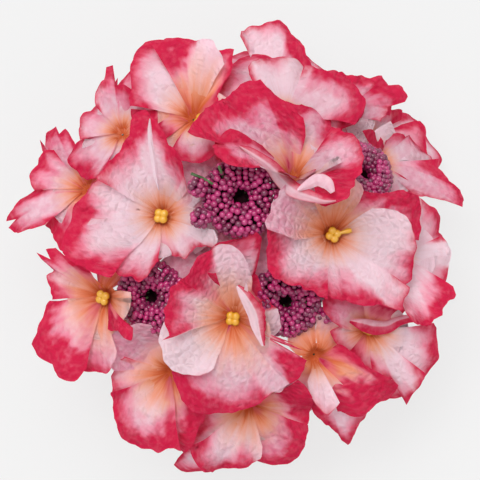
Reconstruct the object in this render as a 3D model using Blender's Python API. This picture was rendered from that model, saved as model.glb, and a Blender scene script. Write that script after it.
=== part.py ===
"""Artificial hydrangea head, cut short on its stem and lying face up: run it with Blender 4.5.

A moulded stem forks into seven boughs. Each bough's knuckle carries a few blooms on thin stalks: wide
silk florets with a pip in the throat, and ring-shaped sprays of berries. Metres, +Z up, and the origin
is at the flat cut under the stem.
"""

import math
import random
from dataclasses import dataclass, replace

import bmesh
import bpy
from mathutils import Matrix, Quaternion, Vector
from mathutils.bvhtree import BVHTree

# Sizes are in millimetres and angles in degrees. The solids are scaled to metres at the end.
MM = 0.001
MERGE = 0.0001
UP = Vector((0, 0, 1))

# The head is a dome of florets on a surface of this size, and a floret faces out along its normal.
DOME_RADIUS = 92.0
DOME_RISE = 50.0
DOME_FOOT = 34.0
DOME_EDGE = 0.96

# The moulded stem and its boughs.
STEM_FLARE = 4.6
STEM_FLARE_HEIGHT = 2.0
STEM_RADIUS = 3.6
STEM_NECK = 3.3
STEM_TOP = 18.0
STEM_SIDES = 12
HUB_RADIUS = 6.0
HUB_HEIGHT = 24.4
HUB_BANDS = (-30, 0, 30, 60)
HUB_CROWN = 0.7
BOUGH_FOOT_RADIUS = 2.3
BOUGH_TIP_RADIUS = 1.7
BOUGH_SIDES = 6
BOUGH_STEPS = 4
BOUGH_LIFT = 0.6
KNUCKLE_RADIUS = 4.2
SEAT_GAP = 0.35
CROWN_KNUCKLE = (0.0, 0.0, 47.0)
RING_KNUCKLES = 6
RING_KNUCKLE_RADIUS = 29.0
RING_KNUCKLE_HEIGHT = 33.0
RING_KNUCKLE_TURN = 10.0

# A bloom's stalk. It takes the first bend that leaves this much room round it.
STALK_RADIUS = 1.1
STALK_SIDES = 4
STALK_STEPS = 4
STALK_BENDS = (0.42, 0.3, 0.55, 0.15)
STALK_ROOM = 0.5
STALK_SUNK = 1.0

# A floret's throat as heights and radii, and its petals.
THROAT_PROFILE = ((-9.0, 1.3), (-3.0, 2.7), (1.6, 3.3), (4.8, 1.9))
THROAT_SIDES = 6
SILK_THICKNESS = 0.8
FLOOR_GAP = 0.05
PETAL_FOOT_OUT = 2.0
PETAL_STEPS = 2
PETAL_STEP_POWER = 1.3
PETAL_FANS = 5
LINE_STEPS = 32
RISE_FADE = 0.18
CURL_START = 0.5
CLAW = 0.6
CLAW_END = 0.5
RIM_ROUND = 0.16
RIM_ROUND_POWER = 2.2
RIM_CORNER = 0.28
RIM_CORNER_POWER = 8
LAP = 0.07
WAVE = 0.035
WAVE_TURNS = 2.3
CREASE_WIDTH = 0.22

# A petal that would touch a neighbour turns by the least of these angles, or is cut shorter.
CLEAR_SHEET = 2.2
OWN_SHEET = 1.3
OWN_FOOT = 0.45
CLEAR_TURNS = (0, -6, 6, -12, 12, -18, 18, -25, 25, -32, -40)
CLEAR_LENGTHS = (1.0, 0.9, 0.8, 0.7, 0.6, 0.5, 0.42)

# A spray is a ring of beads round a dark socket, with a few sprigs standing off it.
RING_PROFILE = ((-11.0, 1.3), (-7.5, 4.2), (-3.0, 11.6), (1.2, 13.2), (3.6, 9.8), (3.2, 4.6), (-2.5, 2.8))
RING_SIDES = 12
RING_RADIUS = 9.0
RING_TUBE = 4.5
RING_SQUASH = 0.85
BEAD_RADIUS = 3.1
BEADS = 13
BEAD_FIRST = -25.0
BEAD_SWEEP = 190.0
BEAD_CROWD = 1.2
GOLDEN_TURN = 137.508
SPRIG_RADIUS = 4.4
TWIG_RADIUS = 0.9
TWIG_SIDES = 4
TWIG_STEPS = 2


@dataclass(frozen=True)
class Petal:
    """One petal: where it points, how long and wide it is, and how it climbs out of the throat."""

    bearing: float
    length: float
    spread: float = 42.0
    rise: float = 50.0
    flare: float = 12.0
    curl: float = -28.0
    cup: float = 0.12
    crease: float = 0.0
    turn: float = 0.0
    phase: float = 0.0


@dataclass(frozen=True)
class Floret:
    """A floret's throat in plan, its petals, and what sets it off from the dome's own rule."""

    at: tuple
    petals: tuple
    sink: float = 0.0
    tilt: float = None
    toward: float = None


@dataclass(frozen=True)
class Spray:
    """A spray of berries: its middle, how it leans, its size, and where its sprigs stand."""

    at: tuple
    tilt: float
    toward: float
    size: float
    sprigs: tuple = ()


FLORETS = {
    "crown_floret_left": Floret(
        at=(-31.7, 12.8),
        petals=(
            Petal(108, 48, spread=44, crease=0.10, curl=-6),
            Petal(174, 43, spread=50, curl=-10),
            Petal(230, 37, spread=48),
            Petal(296, 28, spread=50),
            Petal(54, 46, spread=40, flare=4),
            Petal(352, 28, spread=42, flare=8),
        ),
    ),
    "crown_floret_right": Floret(
        at=(42.2, 4.8),
        petals=(
            Petal(-6, 39, spread=56),
            Petal(-70, 35, spread=52),
            Petal(208, 40, spread=48),
            Petal(160, 36, spread=46, rise=60, flare=24),
            Petal(92, 29, spread=48, rise=70, flare=34),
            Petal(28, 47, spread=36, flare=0),
        ),
    ),
    "crown_floret_front": Floret(
        at=(-0.9, -31.7),
        petals=(
            Petal(86, 38, spread=48, rise=60, flare=22),
            Petal(154, 34, spread=48),
            Petal(212, 36, spread=46),
            Petal(262, 44, spread=52, flare=4),
            Petal(322, 46, spread=46),
            Petal(18, 30, spread=42, rise=70, flare=38),
        ),
    ),
    "crown_floret_back": Floret(
        at=(25.5, 30.0),
        petals=(
            Petal(142, 52, spread=48, curl=-12),
            Petal(66, 33, spread=54),
            Petal(6, 34, spread=54),
            Petal(316, 22, spread=44, rise=62, flare=30, curl=6),
            Petal(184, 38, spread=36, rise=62, flare=22),
            Petal(240, 25, spread=46, rise=70, flare=38, curl=0),
        ),
        sink=-4.0,
        tilt=32.0,
        toward=78.0,
    ),
    "ring_floret_back_left": Floret(
        at=(-18.5, 56.3),
        petals=(
            Petal(152, 32, spread=48),
            Petal(110, 39, spread=54),
            Petal(62, 39, spread=48),
            Petal(208, 33, spread=44),
            Petal(282, 26, spread=44),
        ),
    ),
    "ring_floret_back": Floret(
        at=(22.0, 57.6),
        petals=(
            Petal(144, 36, spread=44),
            Petal(96, 29, spread=46),
            Petal(40, 28, spread=50),
            Petal(2, 39, spread=46),
            Petal(-42, 34, spread=40),
            Petal(250, 24, spread=44),
        ),
        sink=4.0,
    ),
    "low_floret_back": Floret(
        at=(47.0, 60.0),
        petals=(
            Petal(38, 31, spread=42),
            Petal(6, 34, spread=32),
            Petal(108, 20, spread=46),
            Petal(250, 22, spread=44),
        ),
        tilt=40.0,
        sink=14.0,
    ),
    "ring_floret_back_right": Floret(
        at=(64.0, 37.6),
        petals=(
            Petal(98, 23, spread=48),
            Petal(36, 25, spread=52),
            Petal(-27, 43, spread=23),
            Petal(-76, 27, spread=44),
            Petal(200, 18, spread=44),
        ),
        tilt=38.0,
        sink=12.0,
    ),
    "ring_floret_left_back": Floret(
        at=(-50.6, 50.0),
        petals=(
            Petal(158, 20, spread=44),
            Petal(98, 30, spread=34),
            Petal(66, 26, spread=40),
            Petal(225, 26, spread=44),
            Petal(320, 24, spread=44),
        ),
    ),
    "ring_floret_left": Floret(
        at=(-66.0, 25.0),
        petals=(
            Petal(130, 36, spread=36),
            Petal(82, 24, spread=42),
            Petal(170, 28, spread=40),
            Petal(201, 38, spread=26),
            Petal(264, 32, spread=42),
        ),
    ),
    "ring_floret_left_front": Floret(
        at=(-57.2, -22.4),
        petals=(
            Petal(153, 32, spread=44),
            Petal(230, 41, spread=46),
            Petal(280, 34, spread=44),
            Petal(325, 20, spread=42),
            Petal(80, 20, spread=44),
        ),
    ),
    "ring_floret_front_left": Floret(
        at=(-28.0, -55.4),
        petals=(
            Petal(204, 30, spread=48),
            Petal(246, 40, spread=50),
            Petal(294, 34, spread=44),
            Petal(130, 24, spread=44),
            Petal(20, 24, spread=44),
        ),
    ),
    "ring_floret_front": Floret(
        at=(6.6, -70.0),
        petals=(
            Petal(206, 42, spread=32),
            Petal(262, 31, spread=46),
            Petal(304, 34, spread=48),
            Petal(350, 27, spread=44),
            Petal(140, 24, spread=44),
        ),
    ),
    "ring_floret_front_right": Floret(
        at=(35.2, -48.5),
        petals=(
            Petal(-24, 40, spread=44),
            Petal(-78, 33, spread=34, rise=60, flare=26),
            Petal(-63, 48, spread=24, rise=40, flare=2),
            Petal(48, 28, spread=44),
            Petal(124, 26, spread=44),
        ),
    ),
    "ring_floret_right_front": Floret(
        at=(59.4, -37.0),
        petals=(
            Petal(198, 19, spread=48),
            Petal(144, 24, spread=44),
            Petal(254, 24, spread=44),
            Petal(304, 40, spread=32),
            Petal(-20, 36, spread=52),
            Petal(58, 26, spread=44),
        ),
    ),
    "ring_floret_right": Floret(
        at=(72.0, -3.0),
        petals=(
            Petal(54, 31, spread=50),
            Petal(6, 25, spread=52),
            Petal(-34, 37, spread=50),
            Petal(160, 22, spread=46),
            Petal(250, 28, spread=44),
        ),
    ),
    "low_floret_back_right": Floret(
        at=(60.0, 48.0),
        petals=(
            Petal(78, 25, spread=48),
            Petal(36, 33, spread=50),
            Petal(-16, 32, spread=46),
            Petal(130, 24, spread=42),
            Petal(240, 22, spread=44),
        ),
        tilt=38.0,
        sink=22.0,
    ),
    "low_floret_back_left": Floret(
        at=(17.0, 70.0),
        petals=(
            Petal(88, 36, spread=46),
            Petal(140, 34, spread=44),
            Petal(36, 27, spread=44),
            Petal(250, 22, spread=44),
        ),
        tilt=40.0,
        sink=15.0,
    ),
}

# The lowest ring of florets faces outwards and carries the head on the floor.
LOW_RING = 7
LOW_RING_START = 12.0
LOW_RING_RADIUS = 60.0
LOW_RING_HEIGHT = 25.0
LOW_RING_TILT = 86.0
LOW_RING_LENGTHS = (36, 35, 39, 38, 33)
LOW_RING_SPREAD = 46.0
LOW_RING_SWAY = 2.4
SWAY_HEIGHT = 2.5
SWAY_TILT = 7.0
SWAY_SPIN = 14.0

SPRAYS = {
    "berries_back": Spray((3.0, 21.2, 91.0), 10.0, 88.0, 1.08, ((-17.6, 3.2, 5.6), (-16.6, -9.4, 4.6))),
    "berries_left": Spray((-36.8, -22.2, 77.0), 22.0, 210.0, 0.98),
    "berries_front": Spray((22.4, -24.2, 79.0), 18.0, -45.0, 1.0, ((17.6, -6.8, 1.0),)),
    "berries_right": Spray((57.0, 32.0, 70.0), 30.0, 30.0, 0.86),
}

# Each look is a colour and a roughness. None of them is metal.
SILK = ((0.84, 0.55, 0.63, 1.0), 0.7)
BERRY = ((0.36, 0.04, 0.13, 1.0), 0.4)
STEM = ((0.03, 0.05, 0.02, 1.0), 0.5)


def material(name, colour, roughness):
    """A plain surface."""
    made = bpy.data.materials.new(name)
    made.use_nodes = True
    surface = made.node_tree.nodes["Principled BSDF"]
    surface.inputs["Base Color"].default_value = colour
    surface.inputs["Roughness"].default_value = roughness
    surface.inputs["Metallic"].default_value = 0.0
    made.diffuse_color = colour
    return made


def facing(tilt, toward):
    """The direction that leans tilt degrees from straight up, towards a bearing in plan."""
    lean = math.radians(tilt)
    bearing = math.radians(toward)
    return Vector((math.sin(lean) * math.cos(bearing), math.sin(lean) * math.sin(bearing), math.cos(lean)))


def frame_of(place, direction):
    """The matrix of a bloom whose middle is at place and which faces along direction."""
    return Matrix.Translation(place) @ UP.rotation_difference(direction).to_matrix().to_4x4()


def floret_frame(floret):
    """A floret's frame: on the dome and square to it, unless the floret says otherwise."""
    x, y = floret.at
    share = min(math.hypot(x, y) / DOME_RADIUS, DOME_EDGE)
    rise = DOME_RISE * math.sqrt(1 - share * share)
    tilt = floret.tilt
    if tilt is None:
        tilt = math.degrees(math.atan2(share / DOME_RADIUS, rise / DOME_RISE**2))
    toward = floret.toward
    if toward is None:
        toward = math.degrees(math.atan2(y, x))
    return frame_of(Vector((x, y, DOME_FOOT + rise - floret.sink)), facing(tilt, toward))


def low_ring():
    """The florets under the head's rim, each a name, a frame and petals."""
    step = 360 / len(LOW_RING_LENGTHS)
    for k in range(LOW_RING):
        bearing = LOW_RING_START + 360 * k / LOW_RING
        sway = math.sin(LOW_RING_SWAY * k)
        place = facing(90, bearing) * LOW_RING_RADIUS + UP * (LOW_RING_HEIGHT + SWAY_HEIGHT * sway)
        frame = frame_of(place, facing(LOW_RING_TILT + SWAY_TILT * sway, bearing))
        first = bearing + 180 + SWAY_SPIN * sway
        petals = tuple(
            Petal((first + step * i) % 360, length, spread=LOW_RING_SPREAD)
            for i, length in enumerate(LOW_RING_LENGTHS)
        )
        yield f"low_ring_floret_{k + 1}", frame, petals


def all_florets():
    """Every floret as a name, a frame and petals, the crown's first."""
    for name, floret in FLORETS.items():
        yield name, floret_frame(floret), floret.petals
    yield from low_ring()


def spray_frame(spray):
    """A spray's frame, which also sets its size."""
    return frame_of(Vector(spray.at), facing(spray.tilt, spray.toward)) @ Matrix.Scale(spray.size, 4)


def rim(across):
    """How far a petal reaches at this share of its half fan, as a share of its length."""
    side = abs(across)
    return 1 - RIM_ROUND * side**RIM_ROUND_POWER - RIM_CORNER * side**RIM_CORNER_POWER


def middle_line(petal):
    """How far out and how high a petal's middle is after each equal step along it."""
    out, up = 0.0, 0.0
    line = [(out, up)]
    for i in range(LINE_STEPS):
        share = (i + 0.5) / LINE_STEPS
        slope = petal.turn + petal.flare + (petal.rise - petal.flare) * math.exp(-share / RISE_FADE)
        slope += petal.curl * (max(0.0, share - CURL_START) / (1 - CURL_START)) ** 2
        out += math.cos(math.radians(slope)) * petal.length / LINE_STEPS
        up += math.sin(math.radians(slope)) * petal.length / LINE_STEPS
        line.append((out, up))
    return line


def on_line(line, share):
    """The point at this share of a middle line."""
    at = share * (len(line) - 1)
    low = min(int(at), len(line) - 2)
    part = at - low
    return tuple(a + (b - a) * part for a, b in zip(line[low], line[low + 1]))


def petal_point(petal, line, along, across):
    """A point of the petal's sheet in its floret's frame: along runs 0 to 1, and across -1 to 1."""
    arc = along * rim(across)
    out, up = on_line(line, arc)
    fan = math.radians(petal.spread) * across * (CLAW + (1 - CLAW) * min(1.0, arc / CLAW_END))
    side = math.sin(fan) * out
    up += petal.cup * side * side / petal.length
    up += LAP * petal.length * across * arc
    up += WAVE * petal.length * arc * arc * math.sin(petal.phase + WAVE_TURNS * math.pi * across)
    up -= petal.crease * petal.length * arc * math.exp(-((across / CREASE_WIDTH) ** 2))
    foot = facing(90, petal.bearing) * PETAL_FOOT_OUT
    return foot + facing(90, petal.bearing + math.degrees(fan)) * out + UP * up


def petal_sheet(petal, frame, foot=0.0):
    """The petal's middle sheet from this share of its length outwards."""
    line = middle_line(petal)
    sheet = bmesh.new()
    bmesh.ops.create_grid(sheet, x_segments=PETAL_STEPS, y_segments=PETAL_FANS, size=1.0)
    for vertex in sheet.verts:
        along = foot + (1 - foot) * ((vertex.co.x + 1) / 2) ** PETAL_STEP_POWER
        across = math.sin(vertex.co.y * math.pi / 2)
        vertex.co = frame @ petal_point(petal, line, along, across)
        vertex.co.z = max(vertex.co.z, SILK_THICKNESS / 2 + FLOOR_GAP)
    bmesh.ops.remove_doubles(sheet, verts=sheet.verts[:], dist=MERGE)
    return sheet


def thickened(sheet, thickness):
    """The sheet as a closed leaf of this thickness, with its middle where the sheet was."""
    sheet.normal_update()
    for vertex in sheet.verts:
        vertex.co -= vertex.normal * (thickness / 2)
    bmesh.ops.solidify(sheet, geom=sheet.faces[:], thickness=-thickness)
    bmesh.ops.recalc_face_normals(sheet, faces=sheet.faces[:])
    return sheet


def touches(solid, trees):
    """Whether a solid that is only a test touches any of the trees."""
    tree = BVHTree.FromBMesh(solid)
    solid.free()
    return any(tree.overlap(other) for other in trees)


def clear_petal(petal, frame, others, own):
    """The petal as it can stand, clear of other pieces and of its floret's own petals, or None."""
    for share in CLEAR_LENGTHS:
        for turn in CLEAR_TURNS:
            placed = replace(petal, length=petal.length * share, turn=turn)
            if touches(thickened(petal_sheet(placed, frame), CLEAR_SHEET), others):
                continue
            if not touches(thickened(petal_sheet(placed, frame, OWN_FOOT), OWN_SHEET), own):
                return placed
    return None


def closed(solid, rings):
    """The solid with its rings of vertices skinned and capped."""
    for low, high in zip(rings, rings[1:]):
        for i in range(len(low)):
            k = (i + 1) % len(low)
            solid.faces.new((low[i], low[k], high[k], high[i]))
    solid.faces.new(rings[0][::-1])
    solid.faces.new(rings[-1])
    bmesh.ops.recalc_face_normals(solid, faces=solid.faces[:])
    return solid


def turned(outline, sides, frame):
    """A round solid about its frame's Z, from heights and radii."""
    solid = bmesh.new()
    rings = []
    for height, radius in outline:
        ring = bmesh.ops.create_circle(solid, cap_ends=False, segments=sides, radius=radius)["verts"]
        bmesh.ops.transform(solid, matrix=frame @ Matrix.Translation((0, 0, height)), verts=ring)
        rings.append(ring)
    return closed(solid, rings)


def limb(points, radii, sides):
    """A round limb along points, with a radius at each."""
    solid = bmesh.new()
    rings = []
    turn = Quaternion()
    ahead = UP
    for i, (point, radius) in enumerate(zip(points, radii)):
        heading = (points[min(i + 1, len(points) - 1)] - points[max(i - 1, 0)]).normalized()
        turn = ahead.rotation_difference(heading) @ turn
        ahead = heading
        ring = bmesh.ops.create_circle(solid, cap_ends=False, segments=sides, radius=radius)["verts"]
        bmesh.ops.transform(solid, matrix=Matrix.Translation(point) @ turn.to_matrix().to_4x4(), verts=ring)
        rings.append(ring)
    return closed(solid, rings)


def ball(radius, frame, subdivisions=1):
    """A faceted ball."""
    solid = bmesh.new()
    bmesh.ops.create_icosphere(solid, subdivisions=subdivisions, radius=radius)
    bmesh.ops.transform(solid, matrix=frame, verts=solid.verts[:])
    return solid


def bow(start, leave, end, arrive, steps, bend):
    """Points on a smooth curve from start, leaving along one direction and arriving along another."""
    reach = (end - start).length * bend
    a = start + leave * reach
    b = end - arrive * reach
    points = []
    for i in range(steps + 1):
        t = i / steps
        s = 1 - t
        points.append(start * s**3 + a * 3 * s * s * t + b * 3 * s * t * t + end * t**3)
    return points


def knuckles():
    """The centres of the boughs' knuckles, the crown's first."""
    yield Vector(CROWN_KNUCKLE)
    for k in range(RING_KNUCKLES):
        bearing = RING_KNUCKLE_TURN + 360 * k / RING_KNUCKLES
        yield facing(90, bearing) * RING_KNUCKLE_RADIUS + UP * RING_KNUCKLE_HEIGHT


def stem_solid():
    """The stem from its flat cut to the round hub at its top."""
    outline = [(0, STEM_FLARE), (STEM_FLARE_HEIGHT, STEM_RADIUS), (STEM_TOP, STEM_NECK)]
    for band in HUB_BANDS:
        angle = math.radians(band)
        outline.append((HUB_HEIGHT + HUB_RADIUS * math.sin(angle), HUB_RADIUS * math.cos(angle)))
    outline.append((HUB_HEIGHT + HUB_RADIUS, HUB_CROWN))
    return turned(outline, STEM_SIDES, Matrix.Identity(4))


def bough_pieces(knuckle):
    """A bough's limb from just off the hub, and the knuckle it ends in."""
    hub = UP * HUB_HEIGHT
    leave = (knuckle - hub).normalized()
    arrive = (leave + UP * BOUGH_LIFT).normalized()
    start = hub + leave * (HUB_RADIUS + SEAT_GAP)
    points = bow(start, leave, knuckle, arrive, BOUGH_STEPS, STALK_BENDS[0])
    radii = [
        BOUGH_FOOT_RADIUS + (BOUGH_TIP_RADIUS - BOUGH_FOOT_RADIUS) * i / BOUGH_STEPS
        for i in range(BOUGH_STEPS + 1)
    ]
    return [limb(points, radii, BOUGH_SIDES), ball(KNUCKLE_RADIUS, Matrix.Translation(knuckle), subdivisions=2)]


def stalk(frame, depth, others):
    """A bloom's stalk from just off a knuckle, by the nearest way that is clear."""
    end = frame @ Vector((0, 0, STALK_SUNK - depth))
    arrive = (frame.to_3x3() @ UP).normalized()
    for knuckle in sorted(knuckles(), key=lambda knuckle: (knuckle - end).length):
        leave = (end - knuckle).normalized()
        start = knuckle + leave * (KNUCKLE_RADIUS + SEAT_GAP)
        for bend in STALK_BENDS:
            points = bow(start, leave, end, arrive, STALK_STEPS, bend)
            room = [STALK_RADIUS + STALK_ROOM] * len(points)
            if not touches(limb(points, room, STALK_SIDES), others):
                return limb(points, [STALK_RADIUS] * len(points), STALK_SIDES)
    raise ValueError("no clear way for a stalk")


def bead_places():
    """Where the beads of a spray sit on its ring."""
    for i in range(BEADS):
        around = math.radians(i * GOLDEN_TURN)
        section = math.radians(BEAD_FIRST + BEAD_SWEEP * ((i + 0.5) / BEADS) ** BEAD_CROWD)
        out = RING_RADIUS + RING_TUBE * math.cos(section)
        height = RING_TUBE * RING_SQUASH * math.sin(section)
        yield Vector((math.cos(around) * out, math.sin(around) * out, height))


def spray_pieces(spray):
    """A spray's ring, its beads, and its sprigs on their twigs."""
    frame = spray_frame(spray)
    pieces = [turned(RING_PROFILE, RING_SIDES, frame)]
    for i, place in enumerate(bead_places()):
        tip = Matrix.Rotation(i, 4, "X") @ Matrix.Rotation(i, 4, "Z")
        pieces.append(ball(BEAD_RADIUS, frame @ Matrix.Translation(place) @ tip))
    for place in spray.sprigs:
        end = Vector(place)
        out = Vector((place[0], place[1], 0)).normalized()
        start = out * RING_RADIUS
        points = [frame @ point for point in bow(start, out, end, out, TWIG_STEPS, STALK_BENDS[0])]
        pieces.append(limb(points, [TWIG_RADIUS] * len(points), TWIG_SIDES))
        pieces.append(ball(SPRIG_RADIUS, frame @ Matrix.Translation(end)))
    return pieces


def head():
    """The whole head as pieces by name, each clear of the rest, and its florets as they stand."""
    pieces = {"stem": [stem_solid()]}
    for k, knuckle in enumerate(knuckles()):
        pieces[f"bough_{k + 1}"] = bough_pieces(knuckle)
    stalked = {}
    for name, spray in SPRAYS.items():
        pieces[name] = spray_pieces(spray)
        stalked[name] = (spray_frame(spray), -RING_PROFILE[0][0])
    for name, frame, petals in all_florets():
        pieces[name] = [turned(THROAT_PROFILE, THROAT_SIDES, frame)]
        stalked[name] = (frame, -THROAT_PROFILE[0][0])
    trees = {name: [BVHTree.FromBMesh(piece) for piece in group] for name, group in pieces.items()}
    for name, (frame, depth) in stalked.items():
        others = [tree for other, group in trees.items() if other != name for tree in group]
        pieces[name].append(stalk(frame, depth, others))
        trees[name].append(BVHTree.FromBMesh(pieces[name][-1]))
    placed = {}
    for name, frame, petals in all_florets():
        others = [tree for other, group in trees.items() if other != name for tree in group]
        chance = random.Random(name)
        own = []
        placed[name] = (frame, [])
        for petal in petals:
            stands = clear_petal(replace(petal, phase=chance.uniform(0, math.tau)), frame, others, own)
            if stands is None:
                continue
            placed[name][1].append(stands)
            leaf = thickened(petal_sheet(stands, frame), SILK_THICKNESS)
            pieces[name].append(leaf)
            trees[name].append(BVHTree.FromBMesh(leaf))
            outer = thickened(petal_sheet(stands, frame, OWN_FOOT), SILK_THICKNESS)
            own.append(BVHTree.FromBMesh(outer))
            outer.free()
    return pieces, placed


def fill_pockets(mesh):
    """Drops every shell of the mesh but its largest, so that nothing is sealed in."""
    shells = bmesh.new()
    shells.from_mesh(mesh)
    left = set(shells.faces)
    largest = set()
    while left:
        shell = {left.pop()}
        front = set(shell)
        while front:
            edges = [edge for face in front for edge in face.edges if len(edge.link_faces) == 2]
            front = {face for edge in edges for face in edge.link_faces} - shell
            shell |= front
        left -= shell
        largest = max(largest, shell, key=len)
    bmesh.ops.delete(shells, geom=[face for face in shells.faces if face not in largest], context="FACES")
    shells.to_mesh(mesh)
    shells.free()


def fused(name, pieces, look):
    """One object in metres from closed meshes that overlap, joined by a Boolean union."""
    group = bpy.data.collections.new(name + "_pieces")
    bpy.context.scene.collection.children.link(group)
    objects = []
    for piece in pieces:
        bmesh.ops.scale(piece, vec=(MM, MM, MM), verts=piece.verts[:])
        mesh = bpy.data.meshes.new(name)
        piece.to_mesh(mesh)
        piece.free()
        objects.append(bpy.data.objects.new(name, mesh))
    whole, *others = objects
    bpy.context.scene.collection.objects.link(whole)
    for other in others:
        group.objects.link(other)
    if others:
        union = whole.modifiers.new("union", "BOOLEAN")
        union.operation = "UNION"
        union.operand_type = "COLLECTION"
        union.solver = "MANIFOLD"
        union.collection = group
        graph = bpy.context.evaluated_depsgraph_get()
        mesh = bpy.data.meshes.new_from_object(whole.evaluated_get(graph))
        whole.modifiers.clear()
        whole.data = mesh
        fill_pockets(mesh)
    for other in others:
        bpy.data.objects.remove(other)
    bpy.data.collections.remove(group)
    whole.data.name = name
    whole.data.materials.clear()
    whole.data.materials.append(look)


def main():
    """Builds the head."""
    for old in list(bpy.data.objects):
        bpy.data.objects.remove(old)
    pieces, placed = head()
    for name, group in pieces.items():
        look = BERRY if name in SPRAYS else SILK if name in placed else STEM
        fused(name, group, material(name, *look))


main()
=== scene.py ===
"""Looks of an artificial hydrangea head: silk florets, pips, berry sprays and a moulded stem.

Laid out as an add-on and run as a script. Lengths are in millimetres and angles in degrees until a
finished mesh is scaled to metres.
"""

import functools
import itertools
import math
import random
import statistics
from dataclasses import dataclass, replace

import bmesh
import bpy
from bpy.props import FloatProperty, FloatVectorProperty, IntProperty, PointerProperty
from mathutils import Matrix, Quaternion, Vector, noise
from mathutils.bvhtree import BVHTree


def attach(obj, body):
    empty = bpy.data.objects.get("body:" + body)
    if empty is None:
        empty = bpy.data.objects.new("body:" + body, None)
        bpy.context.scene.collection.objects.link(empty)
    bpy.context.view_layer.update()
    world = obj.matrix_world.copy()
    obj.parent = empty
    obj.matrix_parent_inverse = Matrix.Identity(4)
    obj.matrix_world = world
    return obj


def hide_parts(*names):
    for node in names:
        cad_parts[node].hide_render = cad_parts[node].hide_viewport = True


bl_info = {
    "name": "Artificial hydrangea head",
    "version": (1, 0, 0),
    "blender": (4, 5, 0),
    "location": "View3D > Sidebar > Hydrangea",
    "description": "Dresses an artificial hydrangea head in silk petals, pips, berries and moulded stems",
    "category": "Object",
}

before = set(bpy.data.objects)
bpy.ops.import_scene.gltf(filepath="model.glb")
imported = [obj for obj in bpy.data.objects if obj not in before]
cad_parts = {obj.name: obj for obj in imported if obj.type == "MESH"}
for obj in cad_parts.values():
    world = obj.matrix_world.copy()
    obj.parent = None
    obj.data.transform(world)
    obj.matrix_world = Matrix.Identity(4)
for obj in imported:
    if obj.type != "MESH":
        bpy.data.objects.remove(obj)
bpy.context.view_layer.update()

MM = 0.001
UP = Vector((0, 0, 1))

# The head's dome, as in the solids.
DOME_RADIUS = 92.0
DOME_RISE = 50.0
DOME_FOOT = 34.0
DOME_EDGE = 0.96

# The hub, and the boughs that leave it, each with a knuckle at its end.
HUB_RADIUS = 6.0
HUB_HEIGHT = 24.4
KNUCKLE_RADIUS = 4.2
KNUCKLE_TRIM = 0.1
SEAT_GAP = 0.35
CROWN_KNUCKLE = (0.0, 0.0, 47.0)
RING_KNUCKLES = 6
RING_KNUCKLE_RADIUS = 29.0
RING_KNUCKLE_HEIGHT = 33.0
RING_KNUCKLE_TURN = 10.0
BOUGH_FOOT_RADIUS = 2.3
BOUGH_TIP_RADIUS = 1.7
BOUGH_LIFT = 0.6
BOUGH_STEPS = 16
BOUGH_WAVER = 0.12
BOUGH_WAVER_TURN = 1.9

# The stalks, with a small swelling near the foot.
STALK_RADIUS = 1.1
STALK_BENDS = (0.42, 0.3, 0.55, 0.15)
STALK_SUNK = 1.0
STALK_ROUGH_STEPS = 4
STALK_STEPS = 14
STALK_SWELL = 0.25
STALK_SWELL_AT = 3
STALK_SWELL_WIDTH = 1.2
STALK_LIGHTER = (2.2, 2.0, 1.8)
THROAT_DEPTH = 9.0
SPRAY_DEPTH = 11.0

# A spray's ring of beads: the arc of its tube that they cover, how far each strays and how they crowd.
RING_RADIUS = 9.0
RING_SQUASH = 0.85
BEAD_RING = 9.9
BEAD_TUBE = 5.6
BEAD_FROM = -50.0
BEAD_TO = 196.0
BEAD_STRAY = 0.42
BEAD_LIFT = 1.5
BEAD_ROW = 0.76
BEAD_PACK = 0.84
BEAD_SIZES = (0.8, 1.12)
BEAD_SPIN = 40.0
BEAD_AXIS = (0.3, 0.5, 0.8)

# A petal's middle line and rim, as in the solids.
PETAL_FOOT_OUT = 2.0
LINE_STEPS = 32
RISE_FADE = 0.18
CURL_START = 0.5
CLAW = 1.25
CLAW_END = 0.5
RIM_ROUND = 0.16
RIM_ROUND_POWER = 2.2
RIM_CORNER = 0.28
RIM_CORNER_POWER = 8
LAP = 0.07
WAVE = 0.035
WAVE_TURNS = 2.3
CREASE_WIDTH = 0.22

# The solids' sheets, and the turns and cuts that cleared each petal of its neighbours.
SOLID_CLAW = 0.6
SOLID_FANS = 5
SOLID_ROWS = (1.0, 0.41)
SOLID_THICKNESS = 0.8
FLOOR_GAP = 0.05
CLEAR_TURNS = (0, -6, 6, -12, 12, -18, 18, -25, 25, -32, -40)
CLEAR_LENGTHS = (1.0, 0.9, 0.8, 0.7, 0.6, 0.5, 0.42)

# A rim is drawn as it is seen from the camera, on a level plane through the crown.
CAMERA = Vector((2.2, 2.6, 980.0))
RIM_PLANE = 80.0
RIM_ACROSS = 1.25
RIM_ALONG = 1.3
RIM_STRAIN = 10.0
RIM_MISS = 1.0

# The search for a drawn place on a petal's sheet: from a grid of places, by steps that halve.
RIM_GRID = 8
RIM_GRID_SIDE = 13
RIM_GRID_FOOT = 3
RIM_GRID_TIP = 12
RIM_FIRST_STEP = 0.06
RIM_LAST_STEP = 0.004

# How drawn places become a rim, and the rim of a petal without them.
RIM_NEAR = 0.03
RIM_ROWS_LEAST = 4
RIM_SIDE = 1.05
RIM_SIDE_LEAST = -0.9
RIM_SIDE_REACH = 0.85
RIM_EASE = 0.5
PLAIN_ROWS = 15
PLAIN_REACH_SEED = 5.0
PLAIN_DYE_SEED = 3.0
PLAIN_DYE_START = 2.0
RIM_STRAY = 0.11
RIM_STRAY_PERIOD = 9.0

# The cloth's mesh.
SILK_FOOT = 0.03
SILK_STEPS = 26
SILK_FANS = 40
LEAST_STEP = 0.01

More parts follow.
